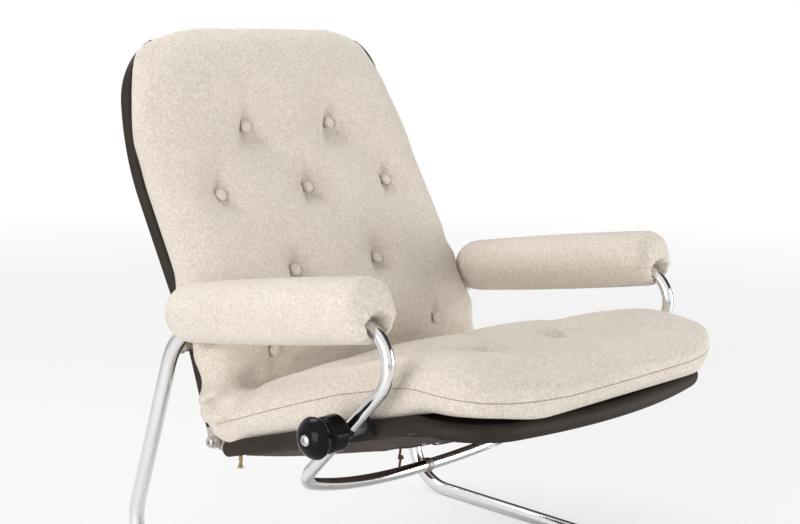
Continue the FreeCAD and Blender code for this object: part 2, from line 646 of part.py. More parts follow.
seat_line = at_middle([seat_start, seat_knee, seat_corner + Vector(0, -120, 0)])
seat_line_wire = rounded_path(seat_line, [value("seat_bend")])
bow_turn = math.radians(value("front_bow"))
web_corner = Vector(-web_half, seat_corner.y, 0)
web_corner.y += value("web_inset") * (1 - math.sin(bow_turn)) / math.cos(bow_turn)
web_middle = Vector(0, web_corner.y - web_half * bow_tilt, 0)
web_rear = [Vector(web_half, -depth_start, 0), Vector(-web_half, -depth_start, 0)]
inset_corner = value("front_corner") - value("web_inset")
seat_outline = rounded_path(web_rear + [web_corner, web_middle, Vector(web_half, web_corner.y, 0), web_rear[0]],
                            [1, inset_corner, value("front_bow_radius") - value("web_inset"), inset_corner])
seat_web = doc.addObject("Part::Common", "seat_web")
seat_web.Base = side_strip("seat_strip", seat_line_wire, value("web_height"), web_half + 1)
seat_web.Tool = prism("seat_window", seat_outline, Vector(0, 0, -2 * depth_start))


def in_seat(along, off, x):
    """A point by its distances along and off the seat rail's own line through the hinge."""
    return Vector(x, hinge.y, hinge.z) + along_seat * along + off_seat * off


def seat_flap(name, hand):
    """Sheet under the seat, from one side rail down to the lacing."""
    start = value("rail_gap") + 40
    outer = hand * -rail_x
    inner = hand * value("flap_edge")
    high = -value("seat_rail_drop") - value("hem_diameter") / 2 + 0.2
    low = -value("seat_rail_drop") - value("flap_drop")
    corners = [in_seat(start, high, outer), in_seat(start, high - value("web_thickness"), outer),
               in_seat(start, low - value("web_thickness"), inner), in_seat(start, low, inner)]
    return prism(name, Part.makePolygon(corners + corners[:1]),
                 along_seat * (value("seat_run") - value("rail_gap") - 70))


def foot_notch(name, near):
    """Room in the hem for one foot of the adjuster plate, on both sides."""
    notch = plate(name, [
        (near - 0.5, -drop - size("hem_diameter")), (near + size("foot_length") + 0.5, -drop - size("hem_diameter")),
        (near + size("foot_length") + 0.5, -drop + size("hem_diameter")), (near - 0.5, -drop + size("hem_diameter")),
    ], size("rail_gap"), -rail_x + value("rail_gap"), value("seat_tilt"))
    other = doc.addObject("Part::Mirroring", name + "_mirror")
    other.Source = notch
    other.Normal = Vector(1, 0, 0)
    return [notch, other]


notches = (foot_notch("foot_notch_rear", size("plate_start"))
           + foot_notch("foot_notch_front", size("plate_end") - size("foot_length")))
seat_sheets = fuse("seat_sheets", [seat_web, seat_flap("seat_flap_right", -1), seat_flap("seat_flap_left", 1)])
keep("seat_sling", sling("seat_sling", seat_wire, seat_sheets, notches))

# Lacing and its two loose ends

lace_off = -value("seat_rail_drop") - value("flap_drop") - value("web_thickness") - value("lace_diameter") / 2 - 0.4
lace_start = value("rail_gap") + 60
lace_points = [in_seat(lace_start + step * value("lace_pitch") / 2, lace_off, (value("flap_edge") + 14) * (-1) ** step)
               for step in range(int(value("lace_runs")) * 2 - 1)]
keep("seat_lacing", swept("seat_lacing", rounded_path(lace_points, [value("lace_bend")] * (len(lace_points) - 2)),
                          size("lace_diameter")))


def hanging_lace(name, points, bends, diameter, knot_diameter, knot_drop):
    """A loose lace end with a knot part of the way down."""
    cord = swept(name + "_cord", rounded_path(points, bends), diameter)
    knot = doc.addObject("Part::Sphere", name + "_knot")
    bind(knot, Radius=as_size(knot_diameter) / 2)
    knot.Placement.Base = points[0] - Vector(0, 0, knot_drop)
    return fuse(name, [cord, knot])


rear_end = Vector(-279, 121, 236)
keep("lace_end_rear", hanging_lace("lace_end_rear", [rear_end, rear_end - Vector(0, 0, 9), rear_end + Vector(-1, -1, -20)],
                                   [20], size("lace_diameter") * 1.6, size("lace_diameter") * 2.1, 7))
front_end = Vector(-75, -30, 240)
keep("lace_end_front", hanging_lace("lace_end_front", [front_end, front_end - Vector(0, 0, 14), front_end + Vector(-2, -1, -32)],
                                    [30], size("lace_diameter"), size("lace_diameter") * 2, 12))

# Cushions: lofts along the side profile with a crowned section, mitred at the hinge and tufted


def station(wire, distance):
    """Point and direction at a distance along a wire."""
    for edge in wire.OrderedEdges:
        if distance <= edge.Length or edge.isSame(wire.OrderedEdges[-1]):
            parameter = edge.getParameterByLength(min(distance, edge.Length))
            return edge.valueAt(parameter), edge.tangentAt(parameter)
        distance -= edge.Length


def cushion_section(point, normal, low, high, kind, inset, lean, sway):
    """Flat base, two rounded sides that can lean inward, and a crown, moved sideways by the sway."""
    edge = low + (high - low) * value("edge_share")
    waist = (low + edge) / 2

    def spot(x, off):
        return Vector(x - sway, point.y, point.z) + normal * off

    base = value(kind + "_base") - inset
    shoulder = value(kind + "_shoulder") - inset - lean
    bulge = min(value(kind + "_side") - inset - (base + shoulder) / 2, (edge - low) * 0.46)
    wide = (base + shoulder) / 2 + bulge
    return Part.Wire([
        Part.LineSegment(spot(-base, low), spot(base, low)).toShape(),
        Part.Arc(spot(base, low), spot(wide, waist), spot(shoulder, edge)).toShape(),
        Part.Arc(spot(shoulder, edge), spot(0, high), spot(-shoulder, edge)).toShape(),
        Part.Arc(spot(-shoulder, edge), spot(-wide, waist), spot(-base, low)).toShape()])


def cushion(name, wire, outward, kind, stations, tools, sway):
    """Loft through stations given as (distance, lowest, highest, inset, lean), with the tools cut away.

    The sway is how far the cushion hangs to one side for each millimetre along the wire.
    """
    sections = []
    for distance, low, high, inset, lean in stations:
        point, along = station(wire, distance)
        sections.append(cushion_section(point, along.cross(Vector(1, 0, 0)) * outward, low, high, kind, inset, lean,
                                        sway * distance))
    blank = doc.addObject("Part::Feature", name + "_blank")
    blank.Shape = Part.makeLoft(sections, True, False)
    return cut(name, blank, fuse(name + "_tools", tools))


def mitre_block(name, side):
    """Everything on one side of the plane that parts the seat cushion from the back cushion."""
    seam = turned_vector((value("seat_tilt") + back_tilt) / 2)
    square = seam.cross(Vector(1, 0, 0)) * side
    start = Vector(-400, hinge.y, hinge.z) + square * (value("mitre_gap") / 2) - seam * 300
    corners = [start, start + seam * 700, start + seam * 700 - square * 400, start - square * 400]
    return prism(name, Part.makePolygon(corners + corners[:1]), Vector(800, 0, 0))


def tufts(name, wire, outward, rows, depth, sway):
    """Cones to cut where the cushion is sewn down, and a button for the foot of each."""
    cones = []
    buttons = []
    for distance, across in rows:
        point, along = station(wire, distance)
        normal = along.cross(Vector(1, 0, 0)) * outward
        for x in across:
            foot = Vector(x - sway * distance, point.y, point.z) + normal * value(depth)
            cone = doc.addObject("Part::Cone", name + "_cone")
            bind(cone, Radius1=size("tuft_floor"), Radius2=size("tuft_mouth"), Height=size("seat_crown") + 6 - size(depth))
            cone.Placement = FreeCAD.Placement(foot, FreeCAD.Rotation(Vector(0, 0, 1), normal))
            cones.append(cone)
            half = size("button_diameter") / 2
            buttons.append(turned(name + "_button", [
                (0.1, 0), (size("button_height"), 0), (size("button_height") / 3, half, size("button_diameter")),
                (0.1, half)], foot, FreeCAD.Rotation(normal, Vector(1, 0, 0), Vector(0, 0, 1), "XYZ")))
    group = doc.addObject("Part::Compound", name)
    group.Links = buttons
    keep(name, group)
    return cones


def even_stations(start, end, low, high, inset):
    """Full sections at even steps from one distance to another."""
    steps = round((end - start) / 36)
    return [(start + (end - start) * step / steps, low, high, inset, 0) for step in range(steps + 1)]


def side_pocket(name, place, radius, start):
    """A round room across the chair, beyond a distance to either side of its middle."""
    rooms = []
    for label, near in (("right", -400), ("left", start)):
        room = doc.addObject("Part::Cylinder", "%s_%s" % (name, label))
        bind(room, Radius=radius, Height=as_size(400 - start))
        room.Placement = FreeCAD.Placement(Vector(near, place.y, place.z),
                                           FreeCAD.Rotation(Vector(0, 0, 1), Vector(1, 0, 0)))
        rooms.append(room)
    return rooms


wide_row = (-value("tuft_spacing"), 0, value("tuft_spacing"))
narrow_row = (-value("tuft_spacing") / 2, value("tuft_spacing") / 2)
low = value("cushion_seat")
back_side_wire = rounded_path(at_middle([hinge, lumbar, head, back_corner + up_head * 60]),
                              [value("lumbar_bend"), value("head_bend")])
back_end = back_side_wire.Length - 60 + (value("back_cushion_top") - value("back_top")) / up_head.z
high = value("back_crown")
lumbar_inset = value("lumbar_inset")
back_inset = value("back_inset")
back_sway = value("back_sway") / back_end
hip_inset = value("hip_inset")
back_stations = [(distance, low, high, hip_inset, 14) for distance, *_ in even_stations(0, 90, low, high, 0)]
back_stations += [(104, low, high, hip_inset + 4, 14), (118, low, high, hip_inset + 11, 10),
                  (132, low, high, hip_inset + 21, 4), (146, low, high, hip_inset + 29, 0)]
back_stations += even_stations(162, 206, low, high, lumbar_inset)
back_stations += [(222, low, high, lumbar_inset - 5, 0), (236, low, high, back_inset + 11, -6)]
back_stations += [(distance, low, high, back_inset + back_sway * distance, -2 * back_sway * distance - 2)
                  for distance, *_ in even_stations(252, back_end - 230, low, high, 0)]
back_stations += [(back_end - 190, low, high - 2, -11, -12), (back_end - 150, low, high - 5, -12, 8),
                  (back_end - 110, low, high - 9, -16, 31), (back_end - 72, low + 1, high - 16, -16, 55),
                  (back_end - 44, low + 3, high - 24, -11, 74), (back_end - 20, low + 7, high - 36, 8, 84),
                  (back_end, low + 16, high - 50, 68, 62)]
back_tools = [mitre_block("back_mitre", 1), swept("back_hem_room", back_wire, size("hem_diameter") + 0.6)]
back_tools += side_pocket("back_pocket", hinge, size("hinge_pocket"), 262)
back_tools += side_pocket("lug_pocket", hinge + up_back * 26, as_size(13), 280)
back_tools += side_pocket("pivot_pocket", pivot, size("pivot_pocket"), 270)
back_tools += tufts("back_buttons", back_side_wire, -1,
                    [(118, wide_row), (231, narrow_row), (375, wide_row), (513, narrow_row)], "back_tuft", back_sway)
keep("back_cushion", cushion("back_cushion", back_side_wire, -1, "back", back_stations, back_tools, back_sway))

seat_rear = hinge - off_seat * value("seat_rail_drop")
seat_side_wire = rounded_path(at_middle([seat_rear, seat_knee, Vector(0, -value("seat_cushion_front"), seat_knee.z)]),
                              [value("seat_bend")])
seat_end = seat_side_wire.Length
high = value("seat_crown")
seat_stations = even_stations(0, seat_end - 150, low, high, 0)
seat_stations += [(seat_end - 115, low, high - 1, 1, 0), (seat_end - 82, low + 2, high - 4, 6, 0),
                  (seat_end - 54, low + 5, high - 9, 17, 0), (seat_end - 30, low + 8, high - 18, 38, 0),
                  (seat_end - 12, low + 13, high - 31, 74, 0), (seat_end, low + 26, high - 48, 122, 0)]
seat_tools = [mitre_block("seat_mitre", -1), swept("seat_hem_room", seat_wire, size("hem_diameter") + 0.6)]
seat_tools += side_pocket("seat_pocket", hinge, size("hinge_pocket"), 262)
seat_tools += tufts("seat_buttons", seat_side_wire, 1,
                    [(190, narrow_row), (310, wide_row), (430, narrow_row)], "seat_tuft", 0)
keep("seat_cushion", cushion("seat_cushion", seat_side_wire, 1, "seat", seat_stations, seat_tools, 0))

# Check and export

doc.recompute()
for piece in doc.Objects:
    if "Invalid" in piece.State or "Error" in piece.State:
        raise RuntimeError("%s did not build: %s" % (piece.Label, piece.State))
os.makedirs("parts", exist_ok=True)
for name, piece in subparts.items():
    if piece.Shape.isNull() or not piece.Shape.isValid():
        raise RuntimeError("%s has no valid shape" % name)
    piece.Shape.exportStep("parts/%s.step" % name)
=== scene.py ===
# %% [markdown]
# # A reclining armchair
# The metal of this chair comes finished from the CAD frame, in its true place and in metres.
# This lesson gives it its finishes and makes the soft parts: a tufted cushion, padded arms,
# leather slings and their lacing. Each step says what the piece is, how it could be made and why
# it is made this way.

# %% Load the frame
import math

import bpy
import numpy as np
from mathutils import Matrix, Vector


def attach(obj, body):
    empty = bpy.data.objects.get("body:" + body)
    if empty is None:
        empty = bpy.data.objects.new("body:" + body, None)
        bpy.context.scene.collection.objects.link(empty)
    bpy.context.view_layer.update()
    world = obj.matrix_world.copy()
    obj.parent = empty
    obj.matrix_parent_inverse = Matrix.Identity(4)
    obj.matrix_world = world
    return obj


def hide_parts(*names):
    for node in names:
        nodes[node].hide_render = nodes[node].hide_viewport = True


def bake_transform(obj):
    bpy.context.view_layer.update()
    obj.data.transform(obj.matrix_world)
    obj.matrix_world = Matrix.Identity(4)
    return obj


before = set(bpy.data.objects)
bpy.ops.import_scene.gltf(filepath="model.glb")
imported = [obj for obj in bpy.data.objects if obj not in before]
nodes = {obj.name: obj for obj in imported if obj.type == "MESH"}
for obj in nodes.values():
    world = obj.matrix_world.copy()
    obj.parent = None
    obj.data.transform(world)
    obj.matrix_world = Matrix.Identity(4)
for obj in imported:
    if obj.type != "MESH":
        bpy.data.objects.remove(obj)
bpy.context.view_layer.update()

# %% [markdown]
# ## Camera
# The photograph was matched by measurement: the camera stands to the front and to the sitter's
# right, a little above the arms. A matrix from three axes is the plainest way to place it, because
# the picture is also tilted by about a degree.

# %% Camera
CAMERA_SPOT = Vector((-1.678, -1.5422, 0.9165))
CAMERA_AZIMUTH = math.radians(-46.491)
CAMERA_PITCH = math.radians(9.658)
CAMERA_ROLL = math.radians(1.197)
LENS_MM = 64.44

backward = Vector((math.sin(CAMERA_AZIMUTH) * math.cos(CAMERA_PITCH),
                   -math.cos(CAMERA_AZIMUTH) * math.cos(CAMERA_PITCH), math.sin(CAMERA_PITCH)))
level = (-backward).cross(Vector((0, 0, 1))).normalized()
upright = level.cross(-backward)
across = level * math.cos(CAMERA_ROLL) + upright * math.sin(CAMERA_ROLL)
above = upright * math.cos(CAMERA_ROLL) - level * math.sin(CAMERA_ROLL)
bpy.ops.object.select_all(action="DESELECT")
bpy.ops.object.camera_add()
camera = bpy.context.object
camera.data.lens = LENS_MM
camera.data.clip_end = 60
camera.matrix_world = Matrix.Translation(CAMERA_SPOT) @ Matrix((across, above, backward)).transposed().to_4x4()
bpy.context.scene.camera = camera
print("camera:", LENS_MM, "mm lens")

# %% [markdown]
# ## Shader helper
# Patterns are sums and products of textures. Writing them as Python expressions keeps them short, so
# one class wraps a socket and turns + - * / into Math nodes. Every other node comes from `node`.

# %% Shader helper


class Shade:
    """A socket of a node tree that can stand in a Python expression."""

    def __init__(self, tree, socket):
        self.tree = tree
        self.socket = socket

    def math(self, operation, first, second=0.0):
        return node(self.tree, "ShaderNodeMath", {"operation": operation}, {0: first, 1: second})

    def __add__(self, other):
        return self.math("ADD", self, other)

    def __radd__(self, other):
        return self.math("ADD", other, self)

    def __sub__(self, other):
        return self.math("SUBTRACT", self, other)

    def __rsub__(self, other):
        return self.math("SUBTRACT", other, self)

    def __mul__(self, other):
        return self.math("MULTIPLY", self, other)

    def __rmul__(self, other):
        return self.math("MULTIPLY", other, self)

    def __truediv__(self, other):
        return self.math("DIVIDE", self, other)

    def __pow__(self, other):
        return self.math("POWER", self, other)


def node(tree, kind, settings=None, sockets=None, output=0):
    """Add a node, set it up, feed its sockets and give back one of its outputs."""
    new = tree.nodes.new(kind)
    for name, setting in (settings or {}).items():
        if name == "stops":
            ramp = new.color_ramp.elements
            while len(ramp) < len(setting):
                ramp.new(0.5)
            for element, (place, colour) in zip(ramp, setting):
                element.position = place
                element.color = colour
        else:
            setattr(new, name, setting)
    for name, given in (sockets or {}).items():
        if isinstance(given, Shade):
            tree.links.new(given.socket, new.inputs[name])
        else:
            new.inputs[name].default_value = given
    return Shade(tree, new.outputs[output])


def start_material(name):
    """A new material: its node tree, its main shader and the piece's own coordinates."""
    material = bpy.data.materials.new(name)
    material.use_nodes = True
    tree = material.node_tree
    shader = tree.nodes["Principled BSDF"]
    place = node(tree, "ShaderNodeTexCoord", output=3)
    return material, tree, shader, place


def noise(tree, place, scale, detail=2.0, roughness=0.5):
    return node(tree, "ShaderNodeTexNoise", None,
                {"Vector": place, "Scale": scale, "Detail": detail, "Roughness": roughness})


def cells(tree, place, scale, feature="F1"):
    return node(tree, "ShaderNodeTexVoronoi", {"feature": feature}, {"Vector": place, "Scale": scale})


def blend_colours(tree, factor, first, second):
    mixed = node(tree, "ShaderNodeMix", {"data_type": "RGBA"}, {0: factor, 6: first, 7: second}, output=2)
    return mixed


def feed(tree, shader, **sockets):
    """Plug numbers, colours or expressions into the main shader."""
    for name, given in sockets.items():
        slot = shader.inputs[name.replace("_", " ")]
        if isinstance(given, Shade):
            tree.links.new(given.socket, slot)
        else:
            slot.default_value = given


def bump(tree, shader, height, depth):
    """Raise the surface by a height expression, depth in metres."""
    raised = node(tree, "ShaderNodeBump", None, {"Height": height, "Distance": depth, "Strength": 1.0})
    tree.links.new(raised.socket, shader.inputs["Normal"])


print("shader helpers ready")

# %% [markdown]
# ## Light and room
# The chair stands in a white room, lit low from the left and the front and from above and behind. A
# photographer would use a paper roll, which has no corner. Here the floor glows white with distance
# until it meets the white sky, so no line shows. Polished tube needs something dark to mirror, so the
# sky that mirrors see has a dark side at the right.

# %% Room and light
SKY_LIGHT = 0.40
FLOOR_GLOW = 0.60
DARK_WAY = (0.97, -0.10, 0.12)
world = bpy.data.worlds.new("white room")
bpy.context.scene.world = world
world.use_nodes = True
sky = world.node_tree
sky.nodes.clear()
view_way = node(sky, "ShaderNodeTexCoord", output=0)
facing_dark = node(sky, "ShaderNodeVectorMath", {"operation": "DOT_PRODUCT"}, {0: view_way, 1: DARK_WAY}, output=1)
dark_side = node(sky, "ShaderNodeValToRGB",
                 {"stops": [(0.12, (0, 0, 0, 1)), (0.52, (1, 1, 1, 1))]}, {"Fac": facing_dark})
mirrored = blend_colours(sky, dark_side, (0.93, 0.93, 0.95, 1), (0.045, 0.044, 0.042, 1))
camera_ray = node(sky, "ShaderNodeLightPath", output=0)
glossy_ray = node(sky, "ShaderNodeLightPath", output=3)
sky_colour = blend_colours(sky, camera_ray, mirrored, (1, 1, 1, 1))
lit = node(sky, "ShaderNodeBackground", None, {"Color": (1, 1, 1, 1), "Strength": SKY_LIGHT})
seen = node(sky, "ShaderNodeBackground", None, {"Color": sky_colour, "Strength": 1.0})
seen_or_mirrored = node(sky, "ShaderNodeMath", {"operation": "MAXIMUM"}, {0: camera_ray, 1: glossy_ray})
room = node(sky, "ShaderNodeMixShader", None, {0: seen_or_mirrored, 1: lit, 2: seen})
world_out = sky.nodes.new("ShaderNodeOutputWorld")
sky.links.new(room.socket, world_out.inputs["Surface"])

bpy.ops.object.select_all(action="DESELECT")
bpy.ops.mesh.primitive_plane_add(size=24)
floor = bpy.context.object
floor.name = "floor"
paint, tree, shader, place = start_material("floor paint")
feed(tree, shader, Base_Color=(0.92, 0.915, 0.91, 1), Roughness=0.6)
distance = node(tree, "ShaderNodeVectorMath", {"operation": "LENGTH"}, {0: place}, output=1)
far_off = node(tree, "ShaderNodeMapRange", None, {"Value": distance, "From Min": 0.9, "From Max": 4.5})
seen_floor = node(tree, "ShaderNodeLightPath", output=0)
glow = node(tree, "ShaderNodeEmission", None, {"Color": (1, 1, 1, 1), "Strength": 1.0})
paper = node(tree, "ShaderNodeMixShader", None,
             {0: seen_floor * (FLOOR_GLOW + far_off * (1 - FLOOR_GLOW)), 1: Shade(tree, shader.outputs[0]), 2: glow})
tree.links.new(paper.socket, tree.nodes["Material Output"].inputs["Surface"])
floor.data.materials.append(paint)


def add_lamp(name, spot, aim, width, power):
    bpy.ops.object.light_add(type="AREA", location=spot)
    lamp = bpy.context.object
    lamp.name = name
    lamp.data.shape = "SQUARE"
    lamp.data.size = width
    lamp.data.energy = power
    lamp.rotation_euler = (Vector(aim) - Vector(spot)).to_track_quat("-Z", "Y").to_euler()


add_lamp("window lamp", (-3.3, -0.7, 0.95), (0, 0, 0.5), 1.9, 68)
add_lamp("front lamp", (2.3, -2.8, 0.8), (0, 0, 0.45), 1.9, 88)
add_lamp("top lamp", (-0.3, 1.1, 2.5), (0, -0.2, 0.4), 1.2, 33)
bpy.context.scene.view_settings.view_transform = "Standard"
print("room: sky at", SKY_LIGHT)

# %% [markdown]
# ## Metal and plastic finishes
# Chrome plate is a near-perfect mirror with fine cloudy wear. The fittings are zinc plated, so they
# are duller and a little grainy. The knobs are moulded, glossy and black. All three are one shader
# with small changes of roughness, which is what the eye reads as wear.

# %% Metal and plastic finishes


def metal_finish(name, colour, dark, roughness, rub, grain):
    """Metal whose roughness and tint wander: rub is how much, grain is the scale of the wear."""
    material, tree, shader, place = start_material(name)
    wear = noise(tree, place, grain, 4.0, 0.6)
    scratches = noise(tree, node(tree, "ShaderNodeMapping", None, {"Vector": place, "Scale": (1, 1, 14)}), grain * 6)
    feed(tree, shader, Metallic=1.0, Base_Color=blend_colours(tree, wear, colour, dark),
         Roughness=roughness + rub * wear * scratches)
    bump(tree, shader, scratches, 0.00004)
    return material


chrome = metal_finish("chrome plate", (0.86, 0.86, 0.87, 1), (0.74, 0.73, 0.72, 1), 0.05, 0.20, 16)
zinc = metal_finish("zinc plated steel", (0.66, 0.64, 0.60, 1), (0.50, 0.47, 0.43, 1), 0.24, 0.35, 40)
# The clamp spacers sit in the shade between tube and rail; this zinc is darkened to paint that shade.
shade_darkened_zinc = metal_finish("zinc darkened as painted shade", (0.24, 0.23, 0.22, 1), (0.14, 0.13, 0.12, 1), 0.40, 0.30, 50)
dull_weld = metal_finish("ground weld", (0.46, 0.42, 0.38, 1), (0.28, 0.24, 0.21, 1), 0.42, 0.4, 90)
brass = metal_finish("plain brass", (0.72, 0.56, 0.28, 1), (0.52, 0.38, 0.18, 1), 0.22, 0.3, 60)

knob_black, tree, shader, place = start_material("moulded black")
handled = noise(tree, place, 60, 3.0)
specks = noise(tree, place, 900, 1.0)
feed(tree, shader, Base_Color=blend_colours(tree, handled, (0.004, 0.004, 0.005, 1), (0.010, 0.010, 0.011, 1)),
     Roughness=0.09 + 0.10 * handled)
shader.inputs["Specular IOR Level"].default_value = 0.1
bump(tree, shader, specks, 0.00004)

black_paint, tree, shader, place = start_material("black painted steel")
rubs = noise(tree, place, 90, 4.0, 0.6)
feed(tree, shader, Base_Color=blend_colours(tree, rubs, (0.010, 0.009, 0.008, 1), (0.026, 0.024, 0.022, 1)),
     Roughness=0.42 + 0.25 * rubs)
shader.inputs["Specular IOR Level"].default_value = 0.25
bump(tree, shader, rubs, 0.00006)

nylon, tree, shader, place = start_material("white nylon")
clouded = noise(tree, place, 200)
feed(tree, shader, Base_Color=blend_colours(tree, clouded, (0.80, 0.78, 0.72, 1), (0.70, 0.67, 0.60, 1)),
     Roughness=0.45)

NODE_FINISH = {
    "base_tube": chrome, "arm_tube": chrome, "base_spigot": zinc, "cross_tube_weld": dull_weld, "pivot_pin": zinc,
    "pivot_washers": nylon, "clamp": shade_darkened_zinc, "knob_saddle": knob_black, "knob_bolt": zinc, "knob": knob_black,
    "back_frame": zinc, "seat_frame": zinc, "pivot_boss": zinc, "back_hinge": zinc, "seat_hinge": zinc,
    "hinge_spacers": brass, "hinge": zinc, "adjuster": black_paint,
}
for name, piece in nodes.items():
    for start, finish in NODE_FINISH.items():
        if name.startswith(start):
            piece.data.materials.clear()
            piece.data.materials.append(finish)
            break
print("finishes on the metal and plastic nodes")

# %% [markdown]
# ## Looped wool cloth
# The cover is a cream looped cloth. Its loops are two or three millimetres across, so they are made as
# bump and colour from cells at that scale; larger clouds of tone stand for the hand of the cloth.

# %% Looped wool cloth


def looped_cloth(name, pale, deep):
    material, tree, shader, place = start_material(name)
    wander = node(tree, "ShaderNodeVectorMath", {"operation": "MULTIPLY_ADD"},
                  {0: node(tree, "ShaderNodeTexNoise", None, {"Vector": place, "Scale": 260.0}, output=1),
                   1: (0.004, 0.004, 0.004), 2: place})
    loops = cells(tree, wander, 330.0)
    curls = noise(tree, place, 700.0, 2.0)
    clumps = noise(tree, place, 190.0, 3.0)
    clouds = noise(tree, place, 9.0, 2.0)
    height = 1.0 - loops * 0.9 + curls * 0.35 + clumps * 0.5
    tone = node(tree, "ShaderNodeMapRange", None, {"Value": loops * 0.55 + clumps * 0.6 + clouds * 0.15,
                                                   "From Min": 0.36, "From Max": 0.80})
    feed(tree, shader, Base_Color=blend_colours(tree, tone, pale, deep), Roughness=0.92,
         Sheen_Weight=0.25, Sheen_Roughness=0.5)
    shader.inputs["Specular IOR Level"].default_value = 0.2
    bump(tree, shader, height, 0.0011)
    return material


cover_cloth = looped_cloth("looped wool", (0.80, 0.735, 0.66, 1), (0.61, 0.54, 0.46, 1))
# The seam thread is darker than the cover: painted shade that stands for the groove the seam lies in.
seam_cloth_painted_shade = looped_cloth("seam thread darkened as painted shade", (0.44, 0.38, 0.32, 1), (0.32, 0.27, 0.22, 1))
print("cloth:", cover_cloth.name, "and", seam_cloth_painted_shade.name)

# %% [markdown]
# ## Saddle leather
# The slings are dark brown leather with a fine grain, rubbed paler in random patches.

# %% Saddle leather


def saddle_leather(name, dark, worn, grain):
    material, tree, shader, place = start_material(name)
    pores = cells(tree, place, grain)
    scuffs = noise(tree, place, 24.0, 5.0, 0.65)
    stain = noise(tree, place, 7.0, 3.0)
    rubbed = node(tree, "ShaderNodeMapRange", None,
                  {"Value": scuffs * 0.7 + stain * 0.5, "From Min": 0.42, "From Max": 0.85})
    feed(tree, shader, Base_Color=blend_colours(tree, rubbed, dark, worn), Roughness=0.50 + 0.3 * scuffs)
    shader.inputs["Specular IOR Level"].default_value = 0.3
    bump(tree, shader, pores * 0.6 + scuffs, 0.0005)
    return material


sling_leather = saddle_leather("sling leather", (0.011, 0.0075, 0.005, 1), (0.034, 0.022, 0.014, 1), 420.0)
flap_leather = saddle_leather("flap leather", (0.022, 0.011, 0.006, 1), (0.066, 0.032, 0.017, 1), 380.0)
lace_leather = saddle_leather("lace leather", (0.045, 0.013, 0.008, 1), (0.12, 0.045, 0.024, 1), 600.0)
thread = saddle_leather("waxed thread", (0.030, 0.019, 0.011, 1), (0.075, 0.050, 0.030, 1), 900.0)
cotton_cord = looped_cloth("cotton cord", (0.52, 0.38, 0.14, 1), (0.34, 0.23, 0.08, 1))
print("leather:", flap_leather.name, "and", lace_leather.name)

# %% [markdown]
# ## Helpers for soft pieces
# A padded piece starts as a copy of its CAD solid, so that it sits where the frame says. A voxel
# remesh gives it an even skin, and Blender's cloth blows that skin up like stuffing, while the sewn
# points are pinned.

# %% Helpers for soft pieces


def pick(piece):
    """Make one object the selected and active one."""
    bpy.ops.object.select_all(action="DESELECT")
    piece.select_set(True)
    bpy.context.view_layer.objects.active = piece


def points_of(piece):
    flat = np.empty(len(piece.data.vertices) * 3)
    piece.data.vertices.foreach_get("co", flat)
    return flat.reshape(-1, 3)


def normals_of(piece):
    flat = np.empty(len(piece.data.vertices) * 3, np.float32)
    piece.data.vertex_normals.foreach_get("vector", flat)
    return flat.reshape(-1, 3).astype(float)


def move_points(piece, spots):
    piece.data.vertices.foreach_set("co", np.asarray(spots, np.float32).ravel())
    piece.data.update()


def copy_of(name, source):
    """A loose copy of a CAD node with its doubled points merged."""
    piece = bpy.data.objects.new(name, nodes[source].data.copy())
    bpy.context.scene.collection.objects.link(piece)
    piece.data.materials.clear()
    pick(piece)
    bpy.ops.object.mode_set(mode="EDIT")
    bpy.ops.mesh.select_all(action="SELECT")
    bpy.ops.mesh.remove_doubles(threshold=0.00002)
    bpy.ops.object.mode_set(mode="OBJECT")
    return piece


def apply_modifier(piece, kind, **settings):
    pick(piece)
    modifier = piece.modifiers.new("step", kind)
    for name, setting in settings.items():
        setattr(modifier, name, setting)
    bpy.ops.object.modifier_apply(modifier=modifier.name)


def even_skin(piece, voxel, smoothing):
    """Voxel skin, then a few rounds of smoothing to take the CAD edges off."""
    apply_modifier(piece, "REMESH", mode="VOXEL", voxel_size=voxel, use_smooth_shade=True)
    apply_modifier(piece, "SMOOTH", factor=0.5, iterations=smoothing)


def stuff(piece, sewn, pressure, cap, stiffness=12.0, frames=20):
    """Blow the skin up with pressure. Points in sewn stay, none sinks, and none moves further than cap."""
    before, facing = points_of(piece), normals_of(piece)
    pick(piece)
    group = piece.vertex_groups.new(name="sewn")
    for weight in np.unique(np.round(sewn[sewn > 0], 2)):
        group.add(np.flatnonzero(np.round(sewn, 2) == weight).tolist(), float(weight), "REPLACE")
    cloth = piece.modifiers.new("stuffing", "CLOTH")
    cloth.settings.quality = 4
    cloth.settings.mass = 0.3
    cloth.settings.tension_stiffness = stiffness
    cloth.settings.compression_stiffness = stiffness
    cloth.settings.shear_stiffness = stiffness / 2
    cloth.settings.bending_stiffness = 0.8
    cloth.settings.vertex_group_mass = "sewn"
    cloth.settings.use_pressure = True
    cloth.settings.uniform_pressure_force = pressure
    cloth.settings.effector_weights.gravity = 0
    cloth.collision_settings.use_collision = False
    cloth.point_cache.frame_end = frames
    scene = bpy.context.scene
    for step in range(1, frames + 1):
        scene.frame_set(step)
    bpy.ops.object.modifier_apply(modifier=cloth.name)
    scene.frame_set(1)
    piece.vertex_groups.clear()
    moved = points_of(piece) - before
    moved -= facing * np.minimum((moved * facing).sum(axis=1, keepdims=True), 0)
    reach = np.linalg.norm(moved, axis=1, keepdims=True)
    print(piece.name, "swelled by up to %.1f mm" % (reach.max() * 1000))
    move_points(piece, before + moved * np.minimum(1, cap / np.maximum(reach, 1e-9)))


def finish_piece(piece, material, body, slot, *replaced):
    """Give a piece its finish and its body, and hide the CAD nodes it stands for. The slot is not used."""
    piece.data.materials.clear()
    piece.data.materials.append(material)
    pick(piece)
    bpy.ops.object.shade_smooth()
    if body:
        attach(piece, body)
    if replaced:
        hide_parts(*replaced)


print("helpers for soft pieces ready")

# %% [markdown]
# ## Where the buttons are
# The covered buttons hold the cushion down. Their places and the way they face are read from the CAD
# buttons: each is a flat dome, so the direction in which it is thinnest is the way it faces.

# %% Button places


